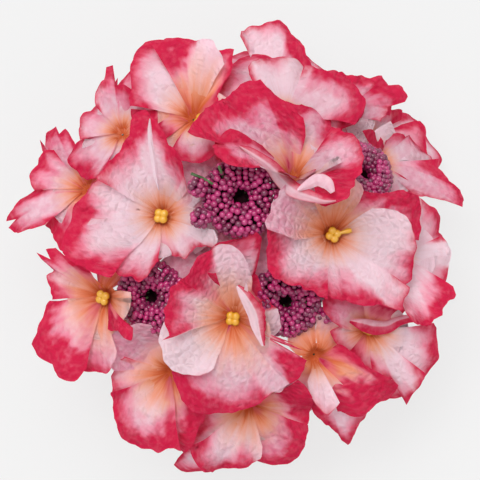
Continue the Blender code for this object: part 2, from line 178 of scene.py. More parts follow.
# The cloth's waves: each has a height, a period, a seed that keeps it from the others, the part of the
# petal that it grows over and how it slants along the petal.
SEED_STEP = 7.3
FLORET_SEED_STEP = 37.7
PETAL_SEED_STEP = 11.3
THROAT_SEED_STEP = 5.1
ROLLED_RIM_SEED_STEP = 3.7
SCALLOP = 0.035
SCALLOP_PERIOD = 4.5
SCALLOP_SEED = 3.1
FOLD = 1.5
FOLD_PERIOD = 10.0
FOLD_SEED = 21.3
FOLD_FADE = (0.1, 0.9)
ROLL = 1.4
ROLL_PERIOD = 15.0
ROLL_SEED = 1.7
ROLL_FADE = (0.2, 1.0)
ROLL_SLANT = 9
RUFFLE_PERIOD = 8.0
RUFFLE_SLANT = 4
RIPPLE = 0.35
RIPPLE_PERIOD = 3.6
RIPPLE_SEED = 9.7
RIPPLE_SLANT = 3
EDGE_FADE = (0.5, 1.0)
LUMP = 0.7
LUMP_PERIOD = 13.0
LUMP_SEED = 5.5

# Where the petals leave the throat's funnel, and where a sunk petal has reached its depth.
BLEND_START = 4.0
BLEND_END = 27.0
BLEND_SPARE = 8
BLEND_LAP = 0.4
SINK_END = 3

# How the rim's dye follows a petal's sides down from its tip.
DYE_FADE = 15.0
DYE_START = 0.35
DYE_FULL = 0.85

# The throat's funnel.
CUP_REACH = 17.0
CUP_SHARE = 0.7
CUP_LEAST = 6.0
CUP_AROUND = 48
CUP_STEPS = 12
CUP_START = 0.5
CUP_SPREAD = 32.0
CUP_ALL_ROUND = 1e-3
CUP_BELOW = 0.7
CUP_WAVER = 0.1
CUP_LOBES = 3
CUP_INWARD = 30.0
CUP_BLUSH = 0.2
CUP_WELD = 0.02

# The rolled rims: their mesh, how they are laid over the cloth and what they are dyed as.
FOLD_STEPS = 40
FOLD_FANS = 8
FOLD_STEP = 1.1
FOLD_OVER = 6
FOLD_EVEN = 5
FOLD_DEPTH = 24.0
FOLD_WARM = 0.6


@dataclass(frozen=True)
class Petal:
    """One petal: how it lies, as in the solids, and how its cloth is cut and dyed. Its blush is partly real
    pink and partly painted shade, raised on petals that lie in shadow.

    Its rim runs from side to side: at each place an x and a y, as the camera sees them, and how far the
    dye soaks in. A loose petal has no solid, and one that lies under its neighbours is sunk that far.
    """

    bearing: float
    length: float
    spread: float = 42.0
    rise: float = 50.0
    flare: float = 12.0
    curl: float = -28.0
    cup: float = 0.12
    crease: float = 0.0
    turn: float = 0.0
    phase: float = 0.0
    lift: float = 0.0
    under: float = 0.0
    blush_and_shade: float = 0.25
    warm: float = 1.0
    band: float = 3.2
    rim: tuple = ()
    loose: bool = False


@dataclass(frozen=True)
class Floret:
    """A floret's throat in plan, its petals, and what sets it off from the dome's own rule."""

    at: tuple
    petals: tuple
    sink: float = 0.0
    tilt: float | None = None
    toward: float | None = None


def floret(at, *petals, **odd):
    """A floret with its petals, and with what sets it off from the rest."""
    return Floret(at, petals, **odd)


@dataclass(frozen=True)
class Fold:
    """A rolled rim on a floret: its line as seen from the camera, with half widths, and its dye."""

    floret: str
    line: tuple
    left: float = 0.0
    right: float = 0.0
    blush_and_shade: float = 0.2
    lift: float = 0.8
    arch: float = 1.2


@dataclass(frozen=True)
class Spray:
    """A spray of berries: its middle, how it leans, its size, and where its sprigs and twigs are."""

    at: tuple
    tilt: float
    toward: float
    size: float
    sprigs: tuple = ()
    twigs: tuple = ()


# The florets, the crown's first. Each petal has its bearing and its length, then what is its own.
# A petal's blush is partly painted shade: petals that lie in shadow, and the loose sunk petals under gaps,
# are given more of it to darken them.
FLORETS = {
    "crown_floret_left": floret(
        (-31.7, 12.8),
        Petal(
            108, 48, spread=44, curl=-6, crease=0.1, blush_and_shade=0.2, warm=0.95,
            rim=(
                (-21.5, 24.5, 0.5), (-23, 31, 1), (-23, 35, 4), (-25.5, 40.5, 5), (-29.5, 45.5, 4),
                (-32.5, 52.5, 4), (-36.5, 56.5, 5), (-39.5, 59.5, 7), (-43.5, 58.5, 8), (-46, 54.5, 7),
                (-47, 49, 5), (-50.5, 43, 2.5), (-54.5, 38.5, 2), (-57.5, 34.5, 1.5), (-60.5, 29, 1),
            ),
        ),
        Petal(
            174, 43, spread=50, curl=-10, blush_and_shade=0.15, warm=0.8,
            rim=(
                (-60.5, 29, 1), (-64.5, 24.5, 1), (-68, 20, 3), (-71.5, 16.5, 7), (-72.5, 10.5, 7),
                (-75, 5, 6), (-76.5, -1, 5), (-74.5, -5, 4), (-70, -7.5, 4), (-64.5, -10.5, 5),
                (-59.5, -13, 4), (-54.5, -14, 3),
            ),
        ),
        Petal(
            230, 37, spread=48, lift=2.5, blush_and_shade=0.2, warm=0.8,
            rim=(
                (-68, 4.5, 0.5), (-66.5, -0.5, 4), (-61, -4.5, 6), (-56, -7, 6), (-53.5, -11, 4),
                (-50.5, -13, 2), (-46, -13.5, 2), (-42.5, -15.5, 2), (-39, -13.5, 1.5), (-36.5, -9.5, 2),
                (-34, -6.5, 2),
            ),
        ),
        Petal(
            296, 28, spread=50, blush_and_shade=0.1, warm=0.8,
            rim=(
                (-34.5, -7, 2), (-31.5, -5, 2), (-28.5, -4, 1.5), (-25, -4.5, 1.5), (-22, -6, 1),
                (-20, -3, 1), (-17, -0.5, 1.5), (-13.5, 0, 1.5), (-10, -1, 1), (-8, 2.5, 0), (-9, 7, 0),
            ),
        ),
        # Its strong blush is partly painted shade, as it lies in shadow.
        Petal(
            54, 46, spread=40, flare=4, blush_and_shade=0.8, warm=0.8,
            rim=(
                (-31.5, 49, 2), (-27.5, 48, 3), (-23.5, 48.5, 3), (-19, 48, 3), (-14, 47.5, 3),
                (-9, 46, 4), (-4.5, 43.5, 6), (0.5, 39.5, 6), (3.5, 34.5, 4),
            ),
        ),
        Petal(
            352, 28, flare=8, blush_and_shade=0.1, warm=0.8,
            rim=(
                (-20.5, 17.5, 0), (-18, 14.5, 0), (-14.5, 15, 0), (-11, 13, 0), (-8.5, 9, 0), (-7.5, 4, 0),
            ),
        ),
        # A loose petal sunk under a gap; its full blush is painted shade.
        Petal(-12, 46, spread=44, flare=-16, curl=-10, under=6, blush_and_shade=1, warm=0.6, loose=True, band=0),
    ),
    "crown_floret_right": floret(
        (42.2, 4.8),
        Petal(
            -6, 39, spread=56, blush_and_shade=0.1, warm=1,
            rim=(
                (60.5, 16.5, 0), (66, 16, 0), (71.5, 15, 0), (76, 12.5, 0), (79, 8, 0.5), (80, 2.5, 1),
                (79.5, -2.5, 1), (78.5, -9, 3), (77.5, -14.5, 2),
            ),
        ),
        Petal(
            -70, 35, spread=52, lift=2.2, blush_and_shade=0.1, warm=0.85,
            rim=(
                (32.5, -7, 0), (34, -11.5, 0), (36, -16, 1), (39.5, -20.5, 2), (43.5, -23.5, 3),
                (48.5, -24, 5), (53, -25.5, 6), (58.5, -26.5, 6), (63, -26, 3), (68, -27, 1),
                (72.5, -28, 2), (74.5, -23.5, 1), (76.5, -18, 1),
            ),
        ),
        Petal(
            208, 40, spread=48, blush_and_shade=0.15, warm=1.05,
            rim=(
                (14, 7.5, 3), (14.5, 2.5, 4.5), (14, -2, 5.5), (14.5, -6, 4), (14.5, -9.5, 3),
                (16.5, -13.5, 3), (20.5, -15.5, 2), (25, -17, 2), (28.5, -18, 2), (32, -19.5, 2.5),
                (35.5, -20.5, 3), (38.5, -22.5, 3), (41, -24, 2),
            ),
        ),
        Petal(
            160, 36, spread=46, rise=60, flare=24, blush_and_shade=0.85, warm=1.6,
            rim=(
                (27, 2.5, 0), (21, 5, 0), (14.5, 7.5, 0), (13.5, 10.5, 0), (15.5, 16, 0), (18, 21, 0),
                (21.5, 26.5, 0), (27, 29, 0),
            ),
        ),
        Petal(92, 29, spread=48, rise=70, flare=34, blush_and_shade=0.9, warm=2, band=0),
        Petal(
            28, 47, spread=36, flare=0, blush_and_shade=0.7, warm=1.5,
            rim=(
                (55, 24.5, 3), (59.5, 23.5, 3), (64, 23, 3), (68, 23.5, 3), (71.5, 24.5, 4), (74.5, 25, 6),
                (78, 23.5, 10), (80.5, 22, 10), (81.5, 18, 9), (82.5, 14, 8), (82, 9.5, 6), (82, 6, 5),
                (80.5, 2.5, 4),
            ),
        ),
        # A loose petal sunk under a gap; its full blush is painted shade.
        Petal(192, 46, spread=40, flare=-16, curl=-10, under=6, blush_and_shade=1, warm=0.6, loose=True, band=0),
    ),
    "crown_floret_front": floret(
        (-0.9, -31.7),
        Petal(
            86, 38, spread=48, rise=60, flare=22, lift=4, blush_and_shade=0.35, warm=1.45,
            rim=(
                (7.5, -19.5, 1), (7, -12.5, 0), (5.5, -8, 0), (3.5, -4, 0), (0.5, -1, 0), (-3, 0.5, 0),
                (-7, 0.5, 0), (-10, -1, 1), (-13, -2.5, 5), (-16.5, -5, 8), (-18.5, -8.5, 8),
                (-20, -12.5, 6), (-23.5, -15, 4),
            ),
        ),
        Petal(
            154, 34, spread=48, blush_and_shade=0.15, warm=1.45,
            rim=(
                (-22.5, -14.5, 5), (-25, -16, 5), (-28, -17.5, 3), (-29, -21.5, 3), (-30, -25, 4),
                (-31.5, -28.5, 4), (-31, -32.5, 4), (-29.5, -36, 4), (-29, -39.5, 3), (-32, -41.5, 1),
            ),
        ),
        Petal(
            212, 36, spread=46, blush_and_shade=0, warm=1.15,
            rim=(
                (-33, -42.5, 0), (-32.5, -46, 0), (-31, -49.5, 0), (-29, -53.5, 0), (-27.5, -55, 0),
                (-24, -56.5, 0), (-20, -57, 0), (-16.5, -57, 0.5), (-13, -56.5, 0.5), (-9.5, -54.5, 0),
            ),
        ),
        Petal(
            262, 44, spread=52, flare=4, blush_and_shade=0.5, warm=1.45,
            rim=(
                (-27.5, -55.5, 6), (-27, -59.5, 8), (-25, -64.5, 10), (-23.5, -68, 10), (-20.5, -72, 8),
                (-16.5, -73.5, 7), (-12.5, -74.5, 6), (-7.5, -74, 4), (-3, -73, 3), (1.5, -72.5, 2.5),
                (5.5, -72, 2.5), (9.5, -70.5, 3), (12.5, -68, 3), (15, -66, 1), (18.5, -64, 0),
                (23.5, -61, 0),
            ),
        ),
        Petal(
            322, 46, spread=46, blush_and_shade=0.6, warm=1.45,
            rim=(
                (24, -61.5, 0), (27.5, -59.5, 8), (30.5, -55, 9), (31.5, -50.5, 5), (30, -46, 3),
                (26, -43, 2), (21.5, -42, 2), (16.5, -41.5, 2),
            ),
        ),
        Petal(
            18, 30, rise=70, flare=38, lift=1.5, blush_and_shade=0.1, warm=1.45,
            rim=(
                (0.5, -18.5, 0), (4.5, -17, 0), (6, -22.5, 0), (10, -24, 1), (12.5, -28, 2),
                (13.5, -33.5, 2.5), (13, -39, 2.5), (13, -43, 2),
            ),
        ),
        Petal(
            42, 42, spread=62, flare=8, curl=-10, under=2.2, lift=2, turn=-10, blush_and_shade=0.35, warm=1,
            loose=True,
            rim=(
                (-9, 1, 2), (-4.5, 1.5, 2), (1, 3, 3), (5.5, 5, 4), (9.5, 6.5, 4), (12, 3.5, 5),
                (10, -2, 6), (9, -7, 7), (9, -13, 7), (11.5, -18.5, 7), (14.5, -23, 6), (16.5, -26, 3),
                (19, -28, 0), (20, -32.5, 0), (20, -37, 0), (17.5, -39.5, 0), (13.5, -41, 0),
            ),
        ),
        # A loose petal lying behind in shadow; its strong blush is painted shade.
        Petal(
            128, 38, spread=40, flare=8, curl=-20, under=2.8, lift=-3, turn=-14, blush_and_shade=0.9, warm=1.45,
            loose=True,
            rim=(
                (-30.5, -17.5, 0), (-32.5, -12.5, 0), (-33, -7.5, 0), (-29.5, -4.5, 0), (-24, -3, 0),
                (-19, -2, 0), (-14, -0.5, 0), (-8.5, -1.5, 0),
            ),
        ),
    ),
    "crown_floret_back": floret(
        (25.5, 30),
        Petal(
            142, 52, spread=48, curl=-12, lift=2, blush_and_shade=0.8, warm=1.2,
            rim=(
                (-9.5, 46, 1), (-14, 47, 3), (-18, 48, 7), (-20, 50.5, 9), (-19.5, 53.5, 8),
                (-15.5, 58, 6), (-11, 61.5, 6), (-5.5, 65, 7), (-1, 67.5, 9), (2.5, 71, 10),
                (6.5, 73.5, 11), (11, 73.5, 12), (14, 70.5, 13), (17.5, 67, 12), (21.5, 64, 10),
                (26, 61, 8), (30, 56, 5), (31.5, 49, 2), (30.5, 42, 1),
            ),
        ),
        Petal(
            66, 33, spread=54, blush_and_shade=0.6, warm=1.2,
            rim=(
                (21.5, 64, 10), (25, 64, 7), (28.5, 63, 6), (33, 64, 6), (37.5, 63.5, 6), (40.5, 61, 6),
                (42, 57.5, 6), (42.5, 53.5, 5),
            ),
        ),
        Petal(
            6, 34, spread=54, blush_and_shade=0.55, warm=0.7,
            rim=(
                (42.5, 53.5, 4), (46, 52, 3), (49.5, 49.5, 2), (52.5, 48, 1.5), (54.5, 45.5, 1.5),
                (56, 41.5, 1.5), (56.5, 37, 2), (55.5, 32.5, 6), (53, 29, 10), (51, 24.5, 11),
                (49.5, 21, 11), (46, 20, 11), (42, 19, 8), (36.5, 19, 3),
            ),
        ),
        Petal(316, 22, spread=44, rise=62, flare=30, curl=6, blush_and_shade=0.6, warm=0.7, band=1),
        Petal(
            184, 38, spread=36, rise=62, flare=22, blush_and_shade=0.75, warm=0.7,
            rim=(
                (-9, 45.5, 6), (-6.5, 49, 9), (-2, 51.5, 10), (1.5, 50.5, 9), (5, 48.5, 6), (8, 47, 4),
                (-9, 41.5, 6), (-5.5, 37.5, 5), (0.5, 35.5, 3), (7.5, 34.5, 2),
            ),
        ),
        Petal(240, 25, spread=46, rise=70, flare=38, curl=0, blush_and_shade=0.6, warm=0.7, band=2),
        sink=-4,
        tilt=32,
        toward=78,
    ),
    "ring_floret_back_left": floret(
        (-18.5, 56.3),
        Petal(
            152, 32, spread=48, blush_and_shade=0.15, warm=0.95,
            rim=(
                (-46, 61.5, 3), (-46.5, 65.5, 3), (-46, 69.5, 2), (-46, 73.5, 2), (-46, 77.5, 3),
                (-45.5, 81, 3), (-44, 84, 3), (-42, 87.5, 4), (-39.5, 89.5, 6), (-36.5, 90.5, 8),
            ),
        ),
        Petal(
            110, 39, spread=54, blush_and_shade=0.25, warm=1.7,
            rim=(
                (-37.5, 90, 8), (-33, 90, 8), (-30.5, 91.5, 9), (-26.5, 91.5, 9), (-22, 91.5, 9),
                (-19, 91.5, 2), (-15.5, 91, 0), (-12, 91, 0), (-9.5, 89.5, 0), (-7.5, 86.5, 0),
            ),
        ),
        Petal(
            62, 39, spread=48, blush_and_shade=0.4, warm=2.1,
            rim=(
                (-20, 82, 3), (-15.5, 83.5, 4), (-11, 85.5, 5), (-5.5, 85.5, 5), (0, 86, 4), (-1, 81, 3),
                (-2, 75.5, 3), (-5.5, 70.5, 2.5), (-8, 66, 2),
            ),
        ),
        Petal(
            208, 33, spread=44, blush_and_shade=0.2, warm=0.95,
            rim=(
                (-46, 60.5, 8), (-46, 56.5, 8), (-42, 52, 8), (-36.5, 49.5, 6), (-31, 46.5, 3),
            ),
        ),
        Petal(282, 26, spread=44, blush_and_shade=0.2, warm=0.95, band=2.5),
    ),
    "ring_floret_back": floret(
        (22, 57.6),
        Petal(
            144, 36, spread=44, blush_and_shade=0.35, warm=0.5,
            rim=(
                (-9.5, 63.5, 2), (-8, 67.5, 2), (-5.5, 71, 2), (-3, 75, 2.5), (-2, 80, 2.5), (1.5, 83, 3),
                (5.5, 84, 3), (12, 84, 6), (16.5, 82.5, 6),
            ),
        ),
        Petal(96, 29, spread=46, blush_and_shade=0.1, warm=0.5, band=1.5),
        Petal(
            40, 28, spread=50, blush_and_shade=0.4, warm=0.5,
            rim=(
                (30.5, 80, 1), (34, 79, 1), (37.5, 77.5, 3), (42, 76, 4), (46, 75, 5), (50.5, 73, 5),
                (53, 70.5, 5), (55.5, 67.5, 5), (57.5, 65, 4), (57.5, 62, 5),
            ),
        ),
        Petal(
            2, 39, spread=46, blush_and_shade=0.2, warm=0.5,
            rim=(
                (57.5, 63, 5), (57, 59, 7), (55, 56, 9), (53, 53.5, 8), (50.5, 52.5, 5), (47.5, 51.5, 2),
                (45, 52, 1),
            ),
        ),
        Petal(-42, 34, spread=40, blush_and_shade=0.2, warm=0.5, band=3),
        Petal(250, 24, spread=44, blush_and_shade=0.2, warm=0.5, band=2),
        sink=4,
    ),
    "low_floret_back": floret(
        (47, 60),
        Petal(
            38, 31, blush_and_shade=0.6, warm=0.5,
            rim=(
                (38.5, 77, 4), (44, 76.5, 5), (46, 77.5, 6), (50, 76.5, 6), (52.5, 75, 5), (56.5, 75, 4),
                (60, 74.5, 4), (62, 73, 3), (64.5, 75, 6), (66, 72, 6),
            ),
        ),
        Petal(
            6, 34, spread=32, blush_and_shade=0.7, warm=0.5,
            rim=(
                (65.5, 74, 6), (67.5, 71, 8), (69.5, 70, 9), (72, 71, 9), (74, 68, 9), (76, 65.5, 9),
                (75, 63.5, 8), (71.5, 62.5, 3), (67.5, 61.5, 1),
            ),
        ),
        Petal(108, 20, spread=46, blush_and_shade=0.5, warm=0.5, band=6),
        Petal(250, 22, spread=44, blush_and_shade=0.3, warm=0.5, band=3),
        sink=14,
        tilt=40,
    ),
    "ring_floret_back_right": floret(
        (64, 37.6),
        Petal(
            98, 23, spread=48, blush_and_shade=0.7, warm=0.6,
            rim=(
                (50.5, 47.5, 6), (53.5, 50, 8), (57.5, 51.5, 10), (61, 51, 9), (64, 49, 6),
                (65.5, 46.5, 3),
            ),
        ),
        Petal(
            36, 25, spread=52, blush_and_shade=0.45, warm=0.6,
            rim=(
                (65.5, 46, 2), (68, 49, 2), (72, 49.5, 2), (75, 48, 2), (77, 49, 2), (80, 45.5, 3),
                (82.5, 42, 2), (86.5, 39.5, 1), (90.5, 38.5, 1),
            ),
        ),
        Petal(
            -27, 43, spread=23, blush_and_shade=0.7, warm=0.6,
            rim=(
                (90.5, 38.5, 2), (90, 35, 7), (93, 32.5, 9), (94.5, 29, 8), (97, 26, 7), (99.5, 24.5, 6),
                (100.5, 21.5, 5), (99.5, 17.5, 4), (97, 18.5, 1), (92.5, 20, 1), (87, 21.5, 1),
                (85, 22, 1),
            ),
        ),
        Petal(-76, 27, spread=44, blush_and_shade=0.4, warm=0.6, band=4),
        Petal(200, 18, spread=44, blush_and_shade=0.4, warm=0.6, band=3),
        sink=12,
        tilt=38,
    ),
    "ring_floret_left_back": floret(
        (-50.6, 50),
        Petal(
            158, 20, spread=44, blush_and_shade=0.6, warm=0.6,
            rim=(
                (-68, 46.5, 1), (-68, 52, 1), (-68, 56.5, 1.5), (-67, 58.5, 2), (-63.5, 59.5, 2),
                (-62, 62, 1.5),
            ),
        ),
        Petal(
            98, 30, spread=34, blush_and_shade=0.6, warm=0.6,
            rim=(
                (-62, 62, 1.5), (-62.5, 65, 1), (-62, 68.5, 1), (-60.5, 71, 1), (-57.5, 73, 1.5),
                (-57, 75, 2), (-56.5, 79, 6), (-54, 80.5, 6), (-53.5, 76.5, 3), (-53, 71.5, 3),
            ),
        ),
        Petal(
            66, 26, spread=40, blush_and_shade=0.5, warm=0.6,
            rim=(
                (-53.5, 71, 7), (-51.5, 70.5, 7), (-51.5, 74.5, 5), (-49, 73.5, 5), (-47, 75.5, 6),
                (-46, 77.5, 4),
            ),
        ),
        Petal(225, 26, spread=44, blush_and_shade=0.4, warm=0.6, band=3),
        Petal(320, 24, spread=44, blush_and_shade=0.4, warm=0.6, band=3),
    ),
    "ring_floret_left": floret(
        (-66, 25),
        Petal(
            130, 36, spread=36, blush_and_shade=0.8, warm=0.9,
            rim=(
                (-69, 42, 3), (-71.5, 46.5, 6), (-74.5, 51.5, 5), (-76.5, 49, 4), (-78.5, 52.5, 4),
                (-81.5, 51.5, 5), (-84, 49.5, 5), (-87, 47.5, 5), (-84.5, 44.5, 1), (-85.5, 42, 1),
            ),
        ),
        Petal(82, 24, blush_and_shade=0.5, warm=0.9, band=6),
        Petal(
            170, 28, spread=40, blush_and_shade=0.6, warm=0.9,
            rim=(
                (-85, 42, 2), (-87.5, 39, 8), (-87.5, 36, 6), (-89.5, 33.5, 3), (-90, 29, 2),
                (-88.5, 24.5, 1),
            ),
        ),
        Petal(
            201, 38, spread=26, blush_and_shade=0.5, warm=0.9,
            rim=(
                (-88.5, 25, 1), (-92, 22.5, 5), (-94.5, 20.5, 8), (-94.5, 17, 5), (-97, 16, 2),
                (-96.5, 12, 2), (-100, 11, 4), (-100, 8, 3), (-95.5, 5.5, 2), (-90, 7.5, 2), (-83.5, 9, 3),
            ),
        ),
        Petal(
            264, 32, blush_and_shade=0.7, warm=0.9,
            rim=(
                (-83.5, 9, 3), (-80.5, 5.5, 6), (-78.5, 1.5, 8), (-76.5, -2, 8), (-73.5, -5, 4),
            ),
        ),
    ),
    "ring_floret_left_front": floret(
        (-57.2, -22.4),
        Petal(
            153, 32, spread=44, blush_and_shade=0.5, warm=1.5,
            rim=(
                (-75, -4.5, 6), (-79, -1, 6), (-83.5, -1.5, 7), (-87, -3, 7), (-85, -5.5, 6), (-81, -6, 4),
                (-79.5, -10.5, 1), (-82.5, -13, 1), (-81.5, -18.5, 3), (-81.5, -24, 3),
            ),
        ),
        Petal(
            230, 41, spread=46, blush_and_shade=0.45, warm=1.5,
            rim=(
                (-81.5, -24, 3), (-84.5, -29, 2), (-85, -31.5, 4), (-86.5, -35, 5), (-87, -38, 8),
                (-89, -43, 9), (-86.5, -47.5, 11), (-83.5, -50, 11), (-80, -51.5, 11), (-79.5, -55, 10),
                (-76, -58.5, 9), (-72.5, -60.5, 8), (-71, -60.5, 7), (-69.5, -56, 4), (-66, -54.5, 3),
            ),
        ),
        Petal(
            280, 34, spread=44, blush_and_shade=0.7, warm=1.5,
            rim=(
                (-66.5, -55.5, 3), (-61.5, -56, 3), (-58, -56.5, 2), (-55, -55, 1), (-53, -51, 0),
                (-52, -46.5, 0),
            ),
        ),
        Petal(
            325, 20, blush_and_shade=1, warm=1.5,
            rim=(
                (-53, -33.5, 9), (-51.5, -37, 9), (-49, -40, 9), (-45.5, -41, 9), (-45, -36, 9),
            ),
        ),
        Petal(80, 20, spread=44, under=8, lift=-8, blush_and_shade=0.3, warm=1.5, band=3),
    ),
    "ring_floret_front_left": floret(
        (-28, -55.4),
        Petal(
            204, 30, spread=48, blush_and_shade=0.6, warm=1.4,
            rim=(
                (-53.5, -55, 1), (-55, -58, 1), (-54, -62.5, 1.5), (-53.5, -68, 3), (-53, -72, 5),
                (-53.5, -76.5, 4), (-51.5, -79, 3),
            ),
        ),
        Petal(
            246, 40, spread=50, blush_and_shade=0.3, warm=1.4,
            rim=(
                (-52, -78.5, 3), (-51, -83, 4), (-49, -86, 5), (-46, -88, 6), (-41.5, -89.5, 7),
                (-35, -90.5, 8), (-29.5, -90, 8), (-24, -90, 7),
            ),
        ),
        Petal(
            294, 34, spread=44, blush_and_shade=0.9, warm=1.4,
            rim=(
                (-25, -90, 10), (-22, -90.5, 10), (-19, -88.5, 10), (-17, -82, 10), (-15.5, -79, 10),
                (-13, -75, 10),
            ),
        ),
        Petal(130, 24, spread=44, blush_and_shade=0.85, warm=1, band=0),
        Petal(20, 24, spread=44, blush_and_shade=0.3, warm=1.4, band=2),
        Petal(
            152, 33, spread=52, flare=4, curl=-14, under=2, blush_and_shade=0.9, warm=0.9, loose=True,
            rim=(
                (-53.5, -55.5, 0), (-57, -50, 0), (-57, -44, 0), (-54.5, -39, 0), (-49.5, -36, 0),
                (-43.5, -35, 0), (-37.5, -36, 0),
            ),
        ),
    ),
    "ring_floret_front": floret(
        (6.6, -70),
        Petal(
            206, 42, spread=32, blush_and_shade=0.25, warm=1.3,
            rim=(
                (-16.5, -81, 6), (-20, -88, 5), (-23.5, -92, 4), (-27.5, -97, 3), (-24, -99, 4),
                (-17.5, -99.5, 4), (-10, -99.5, 3),
            ),
        ),
        Petal(
            262, 31, spread=46, blush_and_shade=0.25, warm=1.3,
            rim=(
                (-11, -99.5, 3), (-4, -98, 4), (0.5, -97.5, 5), (5, -97.5, 3), (8.5, -96, 1),
                (11, -93.5, 0), (12, -87.5, 0),
            ),
        ),
        Petal(
            304, 34, spread=48, blush_and_shade=0.75, warm=1.3,
            rim=(
                (11, -95, 4), (17.5, -95.5, 6), (23, -95.5, 8), (27, -94, 8), (29.5, -90, 8),
                (31, -84.5, 7), (32, -79, 6),
            ),
        ),
        Petal(
            350, 27, spread=44, blush_and_shade=0.35, warm=1.3,
            rim=(
                (32, -77.5, 2), (33, -74, 9), (34.5, -68.5, 10), (33.5, -64.5, 11), (31, -60.5, 11),
                (27.5, -59, 9),
            ),
        ),
        Petal(140, 24, spread=44, blush_and_shade=0.3, warm=1.3, band=3),
    ),
    "ring_floret_front_right": floret(
        (35.2, -48.5),
        # Its strong blush and wide, dark throat are partly painted shade, as this floret lies in the shade
        # of its neighbours.
        Petal(
            -24, 40, spread=44, under=1.2, lift=-2, blush_and_shade=0.95, warm=2.2,
            rim=(
                (45.5, -44, 1), (50.5, -46.5, 4), (57.5, -53, 6), (64, -59.5, 6), (69, -61, 8),
                (71.5, -61.5, 10), (71, -64.5, 12), (68, -67, 12), (64, -68.5, 12), (61, -71.5, 12),
                (57.5, -74, 12), (52.5, -75.5, 9),
            ),
        ),
        Petal(
            -78, 33, spread=34, rise=60, flare=26, under=0.1, lift=2, blush_and_shade=0.1, warm=0.8,
            rim=(
                (32.5, -55.5, 0), (33, -61.5, 0), (34, -67, 0.5), (36.5, -71, 1), (41, -74, 1),
                (45.5, -76, 0.5), (48, -75, 0), (46.5, -69.5, 0), (44, -64.5, 0), (41, -59, 0),
            ),
        ),
        Petal(
            -63, 48, spread=24, rise=40, flare=2, under=0.1, blush_and_shade=0.3, warm=1.3,
            rim=(
                (59.5, -73, 2), (57, -76.5, 2), (54, -80.5, 2), (52, -84, 3), (49.5, -87.5, 4),
                (47, -86, 4), (45.5, -83, 4), (43.5, -81, 4), (41, -79, 5), (37.5, -76.5, 6),
                (35, -74.5, 6), (33.5, -71.5, 5),
            ),
        ),
        Petal(
            48, 28, spread=44, under=5, lift=-6, blush_and_shade=1, warm=1.2,
            rim=(
                (49.5, -47.5, 0), (50.5, -42.5, 0), (49, -37, 0), (45.5, -33.5, 0), (41, -31.5, 0),
                (37, -32.5, 0),
            ),
        ),
        Petal(
            124, 26, spread=44, under=5, lift=-6, blush_and_shade=1, warm=1.2,
            rim=(
                (27.5, -48.5, 0), (24, -44, 0), (24.5, -39, 0), (28, -35, 0), (32.5, -32.5, 0),
                (36.5, -33, 0),
            ),
        ),
        # A loose petal sunk under a gap; its full blush is painted shade.
        Petal(238, 27, spread=60, flare=0, curl=-14, under=5, blush_and_shade=1, warm=0.9, loose=True, band=0),
    ),
    "ring_floret_right_front": floret(
        (59.4, -37),
        Petal(
            198, 19, spread=48, lift=2.5, blush_and_shade=0.2, warm=0.9,
            rim=(
                (57.5, -33.5, 0), (51.5, -35, 0.5), (46.5, -36, 1), (43, -38.5, 1.5), (44, -42, 1.5),
                (47, -45.5, 1.5), (50.5, -48.5, 1.5),
            ),
        ),
        Petal(
            144, 24, spread=44, blush_and_shade=0.85, warm=0.9,
            rim=(
                (50.5, -37, 0), (46, -35.5, 1), (42, -32.5, 1.5), (38.5, -28, 2), (38, -22.5, 3),
                (43.5, -20, 4), (50.5, -20, 4), (57, -21.5, 3),
            ),
        ),
        Petal(
            254, 24, spread=44, lift=2.5, blush_and_shade=0.05, warm=0.9,
            rim=(
                (43, -39, 3), (45.5, -42.5, 3), (49.5, -47.5, 3), (54, -51, 3), (57, -55.5, 3),
                (60.5, -58.5, 2.5), (66, -58.5, 2),
            ),
        ),
        Petal(
            304, 40, spread=32, blush_and_shade=0.05, warm=0.9,
            rim=(
                (66, -58.5, 2), (69.5, -59, 2), (72, -61.5, 2), (74.5, -67, 2), (76.5, -70.5, 4),
                (79, -65, 1), (80.5, -62, 1), (84.5, -56.5, 2),
            ),
        ),
        Petal(
            -20, 36, spread=52, blush_and_shade=0.1, warm=0.9,
            rim=(
                (84.5, -56.5, 2), (86.5, -53.5, 4), (89, -50, 5), (90, -46, 5), (90, -40.5, 3),
                (89.5, -37, 3), (87, -34, 2),
            ),
        ),
        Petal(
            58, 26, spread=44, blush_and_shade=0.8, warm=0.9,
            rim=(
                (56, -22.5, 3), (61.5, -23.5, 4), (67.5, -24, 4), (71.5, -27, 3), (75, -31, 2),
            ),
        ),
    ),
    "ring_floret_right": floret(
        (72, -3),
        Petal(
            54, 31, spread=50, blush_and_shade=0.2, warm=0.5,
            rim=(
                (80.5, 21.5, 0), (85, 18.5, 2), (88.5, 16, 4), (90.5, 13, 4), (90.5, 9, 4), (90, 6, 3),
                (92, 4.5, 2),
            ),
        ),
        Petal(
            6, 25, spread=52, blush_and_shade=0.1, warm=0.5,
            rim=(
                (91.5, 5, 2), (94, 0.5, 0), (95, -3.5, 0), (94.5, -8, 0), (93.5, -12.5, 2),
            ),
        ),
        Petal(
            -34, 37, spread=50, blush_and_shade=0.15, warm=0.5,
            rim=(
                (93, -16.5, 4), (95.5, -18, 5), (96.5, -21.5, 5), (93.5, -24.5, 6), (90.5, -28, 6),
                (90, -30, 6), (87, -32, 5), (86, -35, 3), (82.5, -35, 3), (79, -34, 2), (76, -29.5, 1),
                (75, -24, 0),
            ),
        ),
        Petal(160, 22, spread=46, blush_and_shade=0.5, warm=0.5, band=6),
        Petal(250, 28, spread=44, blush_and_shade=0.2, warm=0.5, band=3.5),
    ),
    "low_floret_back_right": floret(
        (60, 48),
        Petal(
            78, 25, spread=48, blush_and_shade=0.1, warm=0.6,
            rim=(
                (57.5, 62.5, 1), (63, 62.5, 1), (66.5, 60, 2), (69.5, 60, 3), (74, 60, 4),
            ),
        ),
        Petal(
